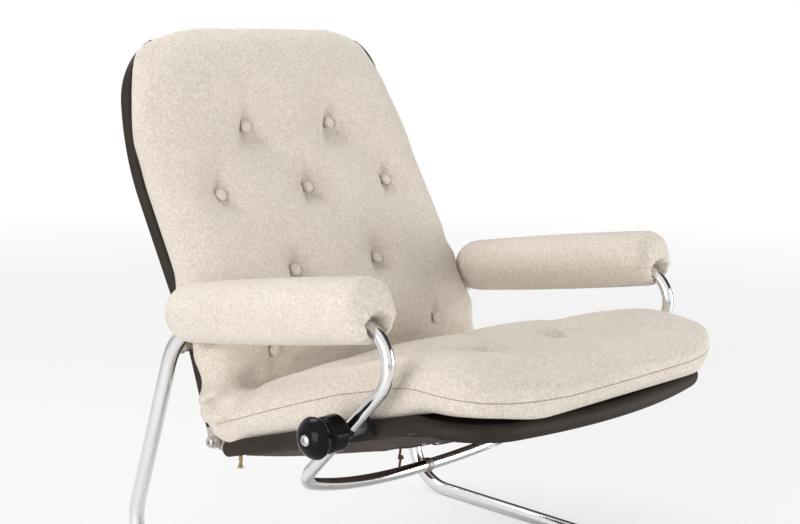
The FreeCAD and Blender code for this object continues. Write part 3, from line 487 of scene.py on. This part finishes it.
def button_places(node_name):
    """Centre and facing of each separate dome in a CAD group of buttons."""
    spots = copy_of("button_probe", node_name)
    bpy.ops.object.mode_set(mode="EDIT")
    bpy.ops.mesh.select_all(action="SELECT")
    bpy.ops.mesh.separate(type="LOOSE")
    bpy.ops.object.mode_set(mode="OBJECT")
    places = []
    for dome in list(bpy.context.selected_objects):
        co = points_of(dome)
        centre = co.mean(axis=0)
        facing = np.linalg.svd(co - centre)[2][2]
        if facing[2] < 0:
            facing = -facing
        places.append((centre, facing))
        bpy.data.objects.remove(dome)
    return places


back_places = button_places("back_buttons")
seat_places = button_places("seat_buttons")
print("buttons:", len(back_places), "on the back,", len(seat_places), "on the seat")

# %% [markdown]
# ## Shape of the cushion
# Back and seat are one long tufted cushion that folds at the hinge line. Foam gives way: the sides swell
# beside the arm pads and stop where they touch them, the front of the seat is thin in the middle, and the
# cover is sewn down in a crease along the fold. Each of these is a small function that moves points, so
# it can be tried alone.

# %% Shape of the cushion
HINGE = np.array((0.0, 0.170, 0.251))
FOLD_OUT = np.array((0.0, 0.8988, 0.4383))
FOLD_UP = np.array((0.0, -0.4383, 0.8988))
BACK_FRONT = np.array((0.0, -0.87, 0.49))
BACK_UP = np.array((0.0, 0.43, 0.90))
SEAT_TILT = math.radians(17.5)
SEAT_AHEAD = np.array((0.0, -math.cos(SEAT_TILT), math.sin(SEAT_TILT)))
SEAT_UP = np.array((0.0, math.sin(SEAT_TILT), math.cos(SEAT_TILT)))
SEAT_DROP = 0.0154
SEAT_BASE = 0.008
ARM_ROOT = np.array((0.335, 0.2057, 0.4421))
ARM_TILT = math.radians(9.4)
ARM_FORWARD = np.array((0.0, -math.cos(ARM_TILT), math.sin(ARM_TILT)))
ARM_UP = np.array((0.0, math.sin(ARM_TILT), math.cos(ARM_TILT)))
PAD_ROUND = 0.0505
HINGE_X = 0.285
SIDE_SWELL = 0.024
FAR_SWELL = 0.012
HIP_TRIM = 0.005
FRONT_SHARE = 0.36
CORNER_LIFT = 0.009
CREASE_DEEP = 0.030
CREASE_FINE = 0.008


def ease(value, start, end):
    """0 before the start, 1 after the end and smooth between them."""
    share = np.clip((value - start) / (end - start), 0, 1)
    return share * share * (3 - 2 * share)


def from_fold(spots):
    """Signed distance from the fold plane: above 0 is the back."""
    return (spots - HINGE) @ FOLD_OUT


def swell_sides(spots):
    """Fill the sides of the back beside the arm pads, and the far side above them; trim the hips."""
    run = (spots - HINGE) @ BACK_UP
    amount = SIDE_SWELL * ease(run, 0.095, 0.140) * (1 - ease(run, 0.215, 0.270))
    amount += FAR_SWELL * ease(run, 0.240, 0.290) * (1 - ease(run, 0.470, 0.560)) * (spots[:, 0] > 0)
    amount -= HIP_TRIM * (1 - ease(run, 0.060, 0.110))
    amount *= from_fold(spots) > 0
    outward = np.sign(spots[:, 0]) * amount * ease(np.abs(spots[:, 0]), 0.19, 0.27)
    return spots + outward[:, None] * (1, 0, 0)


def stop_at_pads(spots):
    """Bring points that reach into an arm pad back to its skin."""
    side = np.sign(spots[:, 0])
    gap = spots - ARM_ROOT * np.column_stack((side, np.ones_like(side), np.ones_like(side)))
    ahead, over = gap @ ARM_FORWARD, gap @ ARM_UP
    dome = np.clip((0.042 - ahead) / 0.047, 0, 1)
    reach = PAD_ROUND * np.sqrt(1 - dome ** 2)
    touching = (np.hypot(gap[:, 0], over) < reach) & (ahead > -0.005)
    inner = ARM_ROOT[0] - np.sqrt(np.maximum(reach ** 2 - over ** 2, 0))
    x = np.where(touching, side * np.minimum(np.abs(spots[:, 0]), inner), spots[:, 0])
    return np.column_stack((x, spots[:, 1:]))


def thin_front(spots):
    """Lower the middle of the seat's front, and lift the lower edge at its front corners."""
    gap = spots - HINGE + SEAT_UP * SEAT_DROP
    ahead, height = gap @ SEAT_AHEAD, gap @ SEAT_UP
    on_seat = from_fold(spots) < 0
    middle = 1 - ease(np.abs(spots[:, 0] - 0.01), 0.10, 0.27)
    lower = FRONT_SHARE * middle * ease(ahead, 0.33, 0.47) * np.maximum(height - SEAT_BASE, 0)
    lift = CORNER_LIFT * ease(np.abs(spots[:, 0]), 0.18, 0.25) * ease(ahead, 0.42, 0.48)
    lift *= 1 - ease(height, 0.02, 0.06)
    return spots + np.where(on_seat, lift - lower, 0)[:, None] * SEAT_UP


def fold_crease(spots, normals):
    """Draw the cover in along the fold: deep on top, less at the sides, nothing underneath."""
    gap, over = from_fold(spots), (spots - HINGE) @ FOLD_UP
    deep = CREASE_DEEP * np.exp(-(gap / 0.018) ** 2) + CREASE_FINE * np.exp(-(gap / 0.007) ** 2)
    share = ease(over, 0.020, 0.060) * (1 - 0.40 * ease(np.abs(spots[:, 0]), 0.225, 0.285))
    return spots - normals * (deep * share)[:, None]


def beside_hinge(spots):
    """1 round the hinges, fading to 0 on the rest of the cushion."""
    corner = np.column_stack((np.abs(spots[:, 0]) - HINGE_X, spots[:, 1:] - HINGE[1:]))
    return 1 - ease(np.linalg.norm(corner, axis=1), 0.065, 0.105)


print("shape functions ready")

# %% [markdown]
# ## The cushion
# The two CAD solids are pushed into each other a little at the fold, and small balls fill the room round
# each hinge, so that the voxel skin makes one cushion of them all. It is skinned again after each large push,
# which mends what the push has folded over. Darts between the buttons are pressed in. Then the skin is drawn
# in a little and stuffed by cloth pressure, which rounds it between the sewn places.

# %% The cushion
CUSHION_VOXEL = 0.006
DRAWN_IN = 0.0015
FOLD_OVERLAP = 0.006
BALL_RISE = 0.010
HINGE_BALLS = ((FOLD_UP, 0.024, 0.282, 0.028), (BACK_UP, 0.040, 0.284, 0.028), (SEAT_AHEAD, 0.036, 0.276, 0.024))
HOLLOW_REACH = 0.012
BACK_DART, BACK_DART_WAY = 0.011, np.array((0.0, 0.45, 0.89))
SEAT_DART, SEAT_DART_WAY = 0.015, np.array((0.0, -0.95, 0.30))
CUSHION_PRESSURE = 3.0
CUSHION_CAP = 0.008


def half_cushion(name, source, side):
    piece = copy_of(name, source)
    spots = points_of(piece)
    at_fold = np.abs(from_fold(spots)) < 0.001
    spots[at_fold] -= side * FOLD_OVERLAP * FOLD_OUT
    move_points(piece, spots)
    return piece


def hinge_fill(hand, way, distance, out, radius):
    """A ball that fills part of the room round a hinge."""
    bpy.ops.object.select_all(action="DESELECT")
    bpy.ops.mesh.primitive_uv_sphere_add(segments=24, ring_count=16, radius=radius)
    ball = bpy.context.object
    move_points(ball, points_of(ball) + HINGE + way * distance + FOLD_UP * BALL_RISE + (hand * out, 0, 0))
    return ball


def close_hollows(piece, reach):
    """Swell the skin round the hinges, skin it again and draw it back, which fills narrow hollows."""
    for way in (1, -1):
        spots = points_of(piece)
        move_points(piece, spots + normals_of(piece) * (way * reach * beside_hinge(spots))[:, None])
        even_skin(piece, CUSHION_VOXEL, 2)


def press_darts(piece, places, up_way, deep):
    """Press soft creases from each button along the cushion and towards its diagonal neighbours."""
    spots = points_of(piece)
    normals = normals_of(piece)
    depth = np.zeros(len(spots))
    centres = np.array([centre for centre, facing in places])
    for centre, facing in places:
        along = up_way - facing * (up_way @ facing)
        along /= np.linalg.norm(along)
        ways = [(along, 0.085, 1.0), (-along, 0.060, 0.5)]
        for other in centres:
            gap = other - centre
            if 0.05 < np.linalg.norm(gap) < 0.185:
                ways.append((gap / np.linalg.norm(gap), 0.10, 0.9 if gap @ along < 0 else 0.3))
        for way, length, share in ways:
            run = (spots - centre) @ way
            sideways = np.abs((spots - centre) @ np.cross(way, facing))
            on_top = (normals @ facing > 0.2) & (np.linalg.norm(spots - centre, axis=1) < 0.13)
            fade = np.clip(1 - run / length, 0, 1) ** 1.3 * (run > 0)
            groove = deep * share * fade * np.exp(-(sideways / (0.006 + 0.07 * np.maximum(run, 0))) ** 2)
            depth = np.maximum(depth, np.where(on_top, groove, 0))
    move_points(piece, spots - normals * depth[:, None])


def resting(piece):
    """1 where the cushion lies on a sling, 0 elsewhere."""
    on_back = from_fold(points_of(piece)) > 0
    facing = np.where(on_back, -normals_of(piece) @ BACK_FRONT, -normals_of(piece) @ SEAT_UP)
    return np.clip((facing - 0.5) * 4, 0, 1)


def sewn(spots):
    """1 where a button or the fold holds the cover, fading to 0 on the free cloth."""
    held = np.clip((0.012 - np.abs(from_fold(spots))) / 0.006, 0, 1)
    for centre, facing in back_places + seat_places:
        held = np.maximum(held, np.clip((0.024 - np.linalg.norm(spots - centre, axis=1)) / 0.010, 0, 1))
    return held


lowered = thin_front(np.array([centre for centre, facing in seat_places]))
seat_places = [(centre, facing) for centre, (_, facing) in zip(lowered, seat_places)]
halves = [half_cushion("back_half", "back_cushion", 1), half_cushion("seat_half", "seat_cushion", -1),
          *[hinge_fill(hand, *ball) for hand in (-1, 1) for ball in HINGE_BALLS]]
pick(halves[0])
for half in halves:
    half.select_set(True)
bpy.ops.object.join()
cushion = bpy.context.object
cushion.name = "cushion"
even_skin(cushion, CUSHION_VOXEL, 5)
move_points(cushion, thin_front(stop_at_pads(swell_sides(points_of(cushion)))))
close_hollows(cushion, HOLLOW_REACH)
move_points(cushion, fold_crease(points_of(cushion), normals_of(cushion)))
even_skin(cushion, CUSHION_VOXEL, 1)
press_darts(cushion, back_places, BACK_DART_WAY, BACK_DART)
press_darts(cushion, seat_places, SEAT_DART_WAY, SEAT_DART)
held = np.maximum(sewn(points_of(cushion)), resting(cushion))
move_points(cushion, points_of(cushion) - normals_of(cushion) * (DRAWN_IN * (1 - held))[:, None])
stuff(cushion, held, CUSHION_PRESSURE, CUSHION_CAP)
apply_modifier(cushion, "SMOOTH", factor=0.4, iterations=2)
move_points(cushion, stop_at_pads(points_of(cushion)))
finish_piece(cushion, cover_cloth, None, "cover", "back_cushion", "seat_cushion")
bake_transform(cushion)
print("cushion:", len(cushion.data.polygons), "faces")

# %% [markdown]
# ## Covered buttons
# Each button is a flat dome covered in the same cloth: a sphere, squashed a little more above than below,
# at each place.

# %% Covered buttons
BUTTON_RADIUS = 0.0104


def covered_buttons(name, places, body, replaced):
    parts = []
    for centre, facing in places:
        bpy.ops.object.select_all(action="DESELECT")
        bpy.ops.mesh.primitive_uv_sphere_add(segments=24, ring_count=12, radius=BUTTON_RADIUS)
        dome = bpy.context.object
        spots = points_of(dome)
        spots[:, 2] = np.where(spots[:, 2] > 0, spots[:, 2] * 0.45, spots[:, 2] * 0.55)
        turn = Vector(facing).to_track_quat("Z", "Y").to_matrix()
        move_points(dome, spots @ np.array(turn).T + centre + 0.002 * facing)
        parts.append(dome)
    pick(parts[0])
    for part in parts:
        part.select_set(True)
    bpy.ops.object.join()
    group = bpy.context.object
    group.name = name
    finish_piece(group, cover_cloth, body, "cover", replaced)


covered_buttons("covered_buttons_back", back_places, "back", "back_buttons")
covered_buttons("covered_buttons_seat", seat_places, "seat", "seat_buttons")
print("covered buttons:", len(back_places) + len(seat_places))

# %% [markdown]
# ## Arm pads
# Each arm is a bolster of the same cloth. At the front the cover is drawn in round the tube, which gives
# it a ring of small folds. The folds are pressed into the voxel skin as waves that run round the tube
# and fade out behind the rolled end. The upper lip of the mouth hangs over the tube.

# %% Arm pads
PAD_FRONT = 0.4465
GATHERS = 13
GATHER_DEEP = 0.0011
LIP_DROOP = 0.010
PAD_VOXEL = 0.0032
PAD_PRESSURE = 1.0
PAD_CAP = 0.0025


def gather_front(piece, hand):
    """Press the folds of the drawn-in cover round the mouth of the pad, whose upper lip hangs over."""
    spots = points_of(piece)
    normals = normals_of(piece)
    gap = spots - ARM_ROOT * (hand, 1, 1) - ARM_FORWARD * PAD_FRONT
    behind = -gap @ ARM_FORWARD
    angle = np.arctan2(gap @ ARM_UP, gap[:, 0])
    out = np.hypot(gap @ ARM_UP, gap[:, 0])
    fade = np.clip(1 - behind / 0.040, 0, 1) * np.clip((0.052 - out) / 0.022, 0, 1)
    folds = np.cos(GATHERS * angle + 1.4 * np.sin(3 * angle)) - 0.4
    over = gap @ ARM_UP
    droop = LIP_DROOP * ease(over, 0.0, 0.018) * (1 - ease(over, 0.024, 0.048)) * (1 - ease(behind, 0.015, 0.060))
    move_points(piece, spots + normals * (GATHER_DEEP * fade * folds)[:, None] - ARM_UP * droop[:, None])


def padded_arm(side, hand):
    piece = copy_of("padded_arm_" + side, "arm_pad_" + side)
    even_skin(piece, PAD_VOXEL, 8)
    stuff(piece, np.zeros(len(piece.data.vertices)), PAD_PRESSURE, PAD_CAP, stiffness=20.0, frames=12)
    gather_front(piece, hand)
    finish_piece(piece, cover_cloth, "base", "cover", "arm_pad_" + side)
    print(piece.name, len(piece.data.polygons), "faces")


padded_arm("right", -1)
padded_arm("left", 1)

# %% [markdown]
# ## The surface a sling lies on
# Seen from the side, each frame is a line with one or two bends. Seen square on, it is a U with round
# corners. So every point of a sling has three plain measures: how far across the chair it is, how far
# along the bent line, and how high above it. The line repeats the frame's own corners and radii.

# %% Sling surface
RAIL_X = 0.285
RAIL_GAP = 0.024


def unit(way):
    return way / np.linalg.norm(way)


def rounded_run(corners, radii, spacing):
    """Even points along straight runs that are joined by tangent arcs."""
    corners = [np.array(corner, float) for corner in corners]
    path = [corners[0]]
    for before, corner, after, radius in zip(corners, corners[1:], corners[2:], radii):
        inward, outward = unit(before - corner), unit(after - corner)
        half_turn = (math.pi - math.acos(inward @ outward)) / 2
        middle, onward = unit(inward + outward), unit(outward - inward)
        centre = corner + middle * radius / math.cos(half_turn)
        for turn in np.linspace(-half_turn, half_turn, 33):
            path.append(centre + radius * (onward * math.sin(turn) - middle * math.cos(turn)))
    path = np.array(path + [corners[-1]])
    run = np.concatenate(([0], np.cumsum(np.linalg.norm(np.diff(path, axis=0), axis=1))))
    even = np.linspace(0, run[-1], round(run[-1] / spacing) + 1)
    return np.column_stack([np.interp(even, run, path[:, 0]), np.interp(even, run, path[:, 1])])


class SlingSurface:
    """Places points by x, run along the bent side line, and height on the cushion's side of it."""

    def __init__(self, corners, radii, cushion_side):
        self.line = rounded_run(corners, radii, 0.003)
        self.run = np.concatenate(([0], np.cumsum(np.linalg.norm(np.diff(self.line, axis=0), axis=1))))
        way = np.gradient(self.line, self.run, axis=0)
        self.up = cushion_side * np.column_stack((-way[:, 1], way[:, 0]))

    def place(self, x, run, height):
        y, z = (np.interp(run, self.run, self.line[:, axis]) + height * np.interp(run, self.run, self.up[:, axis])
                for axis in (0, 1))
        return np.stack((np.broadcast_to(x, y.shape), y, z), axis=-1)


hinge_spot = HINGE[1:]
lumbar = np.array((0.225, 0.398))
head = np.array((0.3916, 0.6887))
up_head = np.array((math.sin(math.radians(4)), math.cos(math.radians(4))))
back_top = head + up_head * (0.872 - head[1]) / up_head[1]
back_surface = SlingSurface([hinge_spot + unit(lumbar - hinge_spot) * RAIL_GAP, lumbar, head, back_top],
                            (0.300, 0.355), 1)
back_length = back_surface.run[-1]
back_rim = rounded_run([(-RAIL_X, 0), (-RAIL_X, back_length), (RAIL_X, back_length), (RAIL_X, 0)],
                       (0.100, 0.100), 0.007)

seat_way = np.array((-math.cos(math.radians(17.5)), math.sin(math.radians(17.5))))
seat_off = np.array((seat_way[1], -seat_way[0]))
rail_line = hinge_spot - seat_off * SEAT_DROP
seat_knee = rail_line + seat_way * 0.442
seat_surface = SlingSurface([rail_line + seat_way * RAIL_GAP, seat_knee, (-0.46, seat_knee[1])], (0.118,), -1)
corner_run = seat_surface.run[-1] - (0.46 - 0.3554)
front_bow = RAIL_X * math.tan(math.radians(12))
seat_rim = rounded_run([(-RAIL_X, 0), (-RAIL_X, corner_run), (0, corner_run + front_bow), (RAIL_X, corner_run),
                        (RAIL_X, 0)], (0.096, 0.912, 0.096), 0.007)
print("slings: back rim", len(back_rim), "points, seat rim", len(seat_rim), "points")

# %% [markdown]
# ## Hems and webs
# A sling is a stretched sheet, and its edge is turned over the frame tube and sewn down behind. The web
# is a grid fitted inside the rim. The hem is a strip whose short side is the shape of the turned-over
# edge: a flat sewn lip, then the round of the tube. Solidify gives both the thickness of the leather.

# %% Hems and webs
LEATHER = 0.0022
HEM_ROUND = 0.0117
LIP_STITCH = 0.0225
HEM_SECTION = [(0.0275, 0.0036), (0.0225, 0.0033), (0.0185, 0.0031), (0.0155, 0.0018), (0.0133, -0.0008)]
HEM_SECTION += [(HEM_ROUND * math.cos(turn), -HEM_ROUND * math.sin(turn))
                for turn in np.radians(np.linspace(18, 348, 27))]


def mapped_grid(name, columns, rows, place):
    """A grid primitive whose points go where place(u, v) says. Both run from 0 to 1."""
    bpy.ops.object.select_all(action="DESELECT")
    bpy.ops.mesh.primitive_grid_add(x_subdivisions=columns, y_subdivisions=rows, size=1)
    piece = bpy.context.object
    piece.name = name
    square = points_of(piece)[:, :2] + 0.5
    move_points(piece, place(square[:, 0], square[:, 1]))
    return piece


def close_up(piece):
    """Merge the seam of a tube, close its ends and turn every face outward."""
    pick(piece)
    bpy.ops.object.mode_set(mode="EDIT")
    bpy.ops.mesh.select_all(action="SELECT")
    bpy.ops.mesh.remove_doubles(threshold=0.00003)
    bpy.ops.mesh.fill_holes(sides=0)
    bpy.ops.mesh.select_all(action="SELECT")
    bpy.ops.mesh.normals_make_consistent(inside=False)
    bpy.ops.object.mode_set(mode="OBJECT")


def thicken(piece, thickness):
    apply_modifier(piece, "SOLIDIFY", thickness=thickness, offset=0.0)
    close_up(piece)


def rim_inward(rim):
    """Unit way from each point of a rim into the sling."""
    way = np.gradient(rim, axis=0)
    way /= np.linalg.norm(way, axis=1, keepdims=True)
    return np.column_stack((way[:, 1], -way[:, 0]))


def at_rim(values, share):
    """Value at a share of the way round a rim."""
    steps = np.linspace(0, 1, len(values))
    return np.column_stack([np.interp(share, steps, values[:, 0]), np.interp(share, steps, values[:, 1])])


def hem(name, surface, rim, body, slot):
    inward = rim_inward(rim)
    section = np.array(HEM_SECTION)

    def place(u, v):
        spot, way, across = at_rim(rim, v), at_rim(inward, v), at_rim(section, u)
        near_seam = np.exp(-((across[:, 0] - LIP_STITCH) / 0.006) ** 2)
        pucker = 0.00035 * np.cos(2 * math.pi * v * len(rim) * 0.7) * near_seam
        flat = spot + way * across[:, :1]
        return surface.place(flat[:, 0], flat[:, 1], across[:, 1] + pucker)

    piece = mapped_grid(name, len(section) - 1, len(rim) * 2, place)
    thicken(piece, LEATHER)
    finish_piece(piece, sling_leather, body, slot)
    return piece


def web(name, surface, rim, start, body, slot, replaced):
    """The stretched sheet inside a rim, from a start run up to the far rail."""
    inner = rim + rim_inward(rim) * 0.0098
    half_width = RAIL_X - 0.0098
    beyond = np.abs(inner[:, 0]) < half_width - 0.00001
    edge = np.vstack(([-half_width, inner[beyond][0, 1]], inner[beyond], [half_width, inner[beyond][-1, 1]]))

    def place(u, v):
        x = half_width * np.sin((u - 0.5) * math.pi)
        run = start + v * (np.interp(x, edge[:, 0], edge[:, 1]) - start)
        sag = 0.003 * np.sin(math.pi * u) * np.sin(math.pi * v)
        return surface.place(x, run, 0.006 - sag)

    piece = mapped_grid(name, 48, 60, place)
    width = np.linspace(-half_width, half_width, 400)
    depth = np.interp(width, edge[:, 0], edge[:, 1]) - start
    area = depth.mean() * half_width * 2
    thicken(piece, LEATHER)
    finish_piece(piece, sling_leather, body, slot, *replaced)
    return piece, (half_width * 2, depth.max()), area


back_hem = hem("back_hem", back_surface, back_rim, "back", "sling")
seat_hem = hem("seat_hem", seat_surface, seat_rim, "seat", "sling")
back_web, back_cut, back_area = web("back_web", back_surface, back_rim, 0.008, "back", "sling", ["back_sling"])
seat_web, seat_cut, seat_area = web("seat_web", seat_surface, seat_rim, 0.008, "seat", "sling", ["seat_sling"])
print("webs: %.3f and %.3f square metres" % (back_area, seat_area))

# %% [markdown]
# ## Flaps under the seat
# Two more sheets hang from the seat's side rails and are laced to each other under the middle, so that the
# seat can be tightened. Their free edges pull into shallow waves between the lace holes.

# %% Flaps under the seat
FLAP_INNER = 0.042
FLAP_START = 0.040
FLAP_LENGTH = 0.348
LACE_X = 0.056
LACE_START = 0.060
LACE_STEP = 0.031


def flap_height(share, run):
    """Height under the rail: down towards the middle, with waves at the laced edge."""
    wave = 0.5 - 0.5 * np.cos(2 * math.pi * (run - LACE_START) / (2 * LACE_STEP))
    return -0.0128 - 0.0425 * share - 0.005 * np.sin(math.pi * share) - 0.0035 * share ** 5 * wave


def seat_flap(name, hand):
    def place(u, v):
        run = FLAP_START + FLAP_LENGTH * v + 0.004 * np.sin(7 * u) * (v - 0.5)
        x = hand * (RAIL_X - (RAIL_X - FLAP_INNER) * u)
        return seat_surface.place(x, run, flap_height(u, run) - 0.002 * np.sin(11 * v + hand) * u)

    piece = mapped_grid(name, 30, 84, place)
    thicken(piece, LEATHER)
    finish_piece(piece, flap_leather, "seat", "sling")


seat_flap("seat_flap_right", -1)
seat_flap("seat_flap_left", 1)
print("two flaps under the seat")

# %% [markdown]
# ## Stitches
# A row of waxed thread holds each lip down. One stitch is modelled as a small bead with few faces, stretched
# along the seam, and copied at every step of the row.

# %% Stitches
STITCH_STEP = 0.0085


def stitch_row(name, spots, ways, ups, body):
    """Copies of one small bead, each laid along its own way, in one mesh."""
    bpy.ops.object.select_all(action="DESELECT")
    bpy.ops.mesh.primitive_uv_sphere_add(segments=6, ring_count=4, radius=1)
    bead = bpy.context.object
    shape = points_of(bead) * (0.0006, 0.0006, 0.0030)
    corners = [list(face.vertices) for face in bead.data.polygons]
    faces = np.array([face + face[-1:] * (4 - len(face)) for face in corners])
    sides = np.cross(ups, ways)
    copies = (spots[:, None] + shape[None, :, :1] * sides[:, None] + shape[None, :, 1:2] * ups[:, None]
              + shape[None, :, 2:] * ways[:, None])
    mesh = bpy.data.meshes.new(name)
    listed = [[corner + copy * len(shape) for corner in dict.fromkeys(face)]
              for copy in range(len(spots)) for face in faces.tolist()]
    mesh.from_pydata(copies.reshape(-1, 3).tolist(), [], listed)
    piece = bpy.data.objects.new(name, mesh)
    bpy.context.scene.collection.objects.link(piece)
    bpy.data.objects.remove(bead)
    close_up(piece)
    finish_piece(piece, thread, body, "sling")
    return piece


def lip_stitches(name, surface, rim, body):
    """Stitches along the sewn lip of a hem, on the side away from the cushion."""
    count = int(len(rim) * 0.007 / STITCH_STEP)
    share = (np.arange(count) + 0.5) / count
    line = at_rim(rim + rim_inward(rim) * LIP_STITCH, share)
    ahead = at_rim(rim + rim_inward(rim) * LIP_STITCH, share + 0.2 / count)
    low = 0.0033 - LEATHER / 2
    spots = surface.place(line[:, 0], line[:, 1], low)
    ways = surface.place(ahead[:, 0], ahead[:, 1], low) - spots
    ups = spots - surface.place(line[:, 0], line[:, 1], low + 0.001)
    return stitch_row(name, spots, ways / np.linalg.norm(ways, axis=1, keepdims=True), ups / 0.001, body)


back_stitches = lip_stitches("back_stitches", back_surface, back_rim, "back")
seat_stitches = lip_stitches("seat_stitches", seat_surface, seat_rim, "seat")


print("stitches every %.1f mm" % (STITCH_STEP * 1000))

# %% [markdown]
# ## Lacing
# A flat lace goes to and fro between the flaps. Each crossing is a strap that comes down out of one hole,
# sags a little and goes up into the next. A strap is a grid rolled into a flattened tube.

# %% Lacing
LACE_WIDE = 0.0026
LACE_THIN = 0.0010


def lace_crossing(step):
    hand = (-1) ** step

    def place(u, v):
        turn = 2 * math.pi * u
        run = LACE_START + LACE_STEP * (step + v) + LACE_WIDE * np.cos(turn)
        lift = 0.009 * (np.exp(-v / 0.025) + np.exp(-(1 - v) / 0.025))
        height = -0.0590 - 0.0025 * np.sin(math.pi * v) + lift + LACE_THIN * np.sin(turn)
        return seat_surface.place(hand * LACE_X * (1 - 2 * v), run, height)

    strap = mapped_grid("lace_%02d" % step, 10, 30, place)
    close_up(strap)
    return strap


crossings = [lace_crossing(step) for step in range(10)]
pick(crossings[0])
for strap in crossings:
    strap.select_set(True)
bpy.ops.object.join()
lacing = bpy.context.object
lacing.name = "lacing"
finish_piece(lacing, lace_leather, "seat", "lace", "seat_lacing")
print("lacing steps of %.0f mm" % (LACE_STEP * 1000))

# %% [markdown]
# ## Loose ends
# The lace ends in a short length that hangs from the flap, with a knot and a small loop in it. It is a round cord,
# so it is a curve on the route of the frame's own solid. Behind it, near the hinge, hangs a short tassel of
# cotton: a wrapped knot and a bunch of strands that spread.

# %% Loose ends
LACE_ROUTE = [(-0.0750, -0.0300, 0.2410), (-0.0748, -0.0300, 0.2350), (-0.0775, -0.0310, 0.2300),
              (-0.0735, -0.0300, 0.2240), (-0.0765, -0.0315, 0.2180), (-0.0775, -0.0310, 0.2125),
              (-0.0765, -0.0310, 0.2080)]
LACE_ROUND = 0.004


def smooth_cord(name, route, diameter):
    """A round cord on a smooth curve with the route's points as its control points."""
    curve = bpy.data.curves.new(name, "CURVE")
    curve.dimensions = "3D"
    spline = curve.splines.new("NURBS")
    spline.points.add(len(route) - 1)
    for point, spot in zip(spline.points, route):
        point.co = (*spot, 1)
    spline.order_u = 3
    spline.use_endpoint_u = True
    spline.resolution_u = 8
    curve.bevel_depth = diameter / 2
    curve.bevel_resolution = 4
    curve.use_fill_caps = True
    piece = bpy.data.objects.new(name, curve)
    bpy.context.scene.collection.objects.link(piece)
    return piece


def route_length(piece):
    """Length of a cord's own centre line."""
    depth = piece.data.bevel_depth
    piece.data.bevel_depth = 0
    bare = bpy.data.meshes.new_from_object(piece)
    piece.data.bevel_depth = depth
    spots = np.array([corner.co for corner in bare.vertices])
    return float(np.linalg.norm(np.diff(spots, axis=0), axis=1).sum())


def add_ring(spot, radius, thick, turn):
    bpy.ops.object.select_all(action="DESELECT")
    bpy.ops.mesh.primitive_torus_add(major_radius=radius, minor_radius=thick, major_segments=20, minor_segments=10,
                                     location=spot, rotation=turn)
    return bpy.context.object


def join_rings(name, rings):
    pick(rings[0])
    for ring in rings:
        ring.select_set(True)
    bpy.ops.object.join()
    piece = bpy.context.object
    piece.name = name
    bpy.ops.object.transform_apply(location=True, rotation=True, scale=True)
    return piece


lace_end = smooth_cord("lace_end", LACE_ROUTE, LACE_ROUND)
lace_end.data.materials.append(lace_leather)
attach(lace_end, "seat")
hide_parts("lace_end_front")
lace_knot = join_rings("lace_knot", [add_ring((-0.0752, -0.0304, 0.2265), 0.0024, 0.0019, (0.5, 0.2, 0)),
                                     add_ring((-0.0752, -0.0304, 0.2238), 0.0025, 0.0019, (-0.4, 0.3, 0)),
                                     add_ring((-0.0722, -0.0325, 0.2252), 0.0022, 0.0014, (1.2, 0.5, 0.6))])
finish_piece(lace_knot, lace_leather, "seat", "lace")
route_length(lace_end)

TASSEL_TOP = np.array((-0.279, 0.121, 0.2355))
STRANDS = 24


def tassel_strand(number):
    turn = 2.4 * number
    spread = 0.0012 + 0.0034 * ((number * 5) % STRANDS) / STRANDS
    length = 0.0125 + 0.0020 * ((number * 7) % STRANDS) / STRANDS

    def place(u, v):
        out = 0.0010 + spread * v ** 1.5
        ring = 2 * math.pi * u
        thick = 0.00065 * (1 - 0.5 * v)
        x = TASSEL_TOP[0] + out * math.cos(turn) + thick * np.cos(ring) + 0.0006 * np.sin(9 * v + number)
        y = TASSEL_TOP[1] + out * math.sin(turn) + thick * np.sin(ring)
        return np.column_stack((x, y, TASSEL_TOP[2] - 0.006 - length * v))

    strand = mapped_grid("strand_%02d" % number, 6, 8, place)
    close_up(strand)
    return strand


wraps = [add_ring(TASSEL_TOP - (0, 0, 0.0014 * turn), 0.0022, 0.0010, (0.12, 0.08, 0)) for turn in range(6)]
tassel = join_rings("tassel", wraps + [tassel_strand(number) for number in range(STRANDS)])
finish_piece(tassel, cotton_cord, "seat", "cord", "lace_end_rear")
print("lace end of %.0f mm, tassel of %d strands" % (route_length(lace_end) * 1000, STRANDS))

# %% [markdown]
# ## Seam of the seat cushion
# The top and bottom covers of the seat meet in a seam that runs from hinge to hinge round the front. It is
# a thin thread that lies on the skin, found by casting a ray inward at each step of the seat's rim. Its darker
# cloth is painted shade, standing for the groove of the seam, which is not modelled.

# %% Seam of the seat cushion
SEAM_RUN = (0.004, 0.110, 0.200, 0.290, 0.380, 0.450, 0.560)
SEAM_HEIGHT = (0.042, 0.049, 0.054, 0.057, 0.054, 0.052, 0.046)
SEAM_THICK = 0.0009
out_rim = seat_rim - rim_inward(seat_rim) * 0.045
in_rim = seat_rim + rim_inward(seat_rim) * 0.1
heights = np.interp(seat_rim[:, 1], SEAM_RUN, SEAM_HEIGHT)
aims = seat_surface.place(out_rim[:, 0], out_rim[:, 1], heights)
targets = seat_surface.place(in_rim[:, 0], in_rim[:, 1], heights)
hits = [cushion.ray_cast(Vector(aim), Vector(target - aim).normalized()) for aim, target in zip(aims, targets)]
seam_spots = np.array([spot for found, spot, normal, _ in hits if found])
seam_outs = np.array([normal for found, spot, normal, _ in hits if found])
seam_steps = np.linspace(0, 1, len(seam_spots))


def seam_place(u, v):
    centre = np.column_stack([np.interp(v, seam_steps, seam_spots[:, axis]) for axis in range(3)])
    out = np.column_stack([np.interp(v, seam_steps, seam_outs[:, axis]) for axis in range(3)])
    turn = 2 * math.pi * u
    return (centre + out * (SEAM_THICK * (np.cos(turn) - 0.2))[:, None]
            + np.array((0, 0, 1.0)) * (SEAM_THICK * np.sin(turn))[:, None])


seam = mapped_grid("seat_seam", 6, len(seam_spots) * 2, seam_place)
close_up(seam)
finish_piece(seam, seam_cloth_painted_shade, None, "cover")
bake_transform(seam)
print("seam through", len(seam_spots), "points")
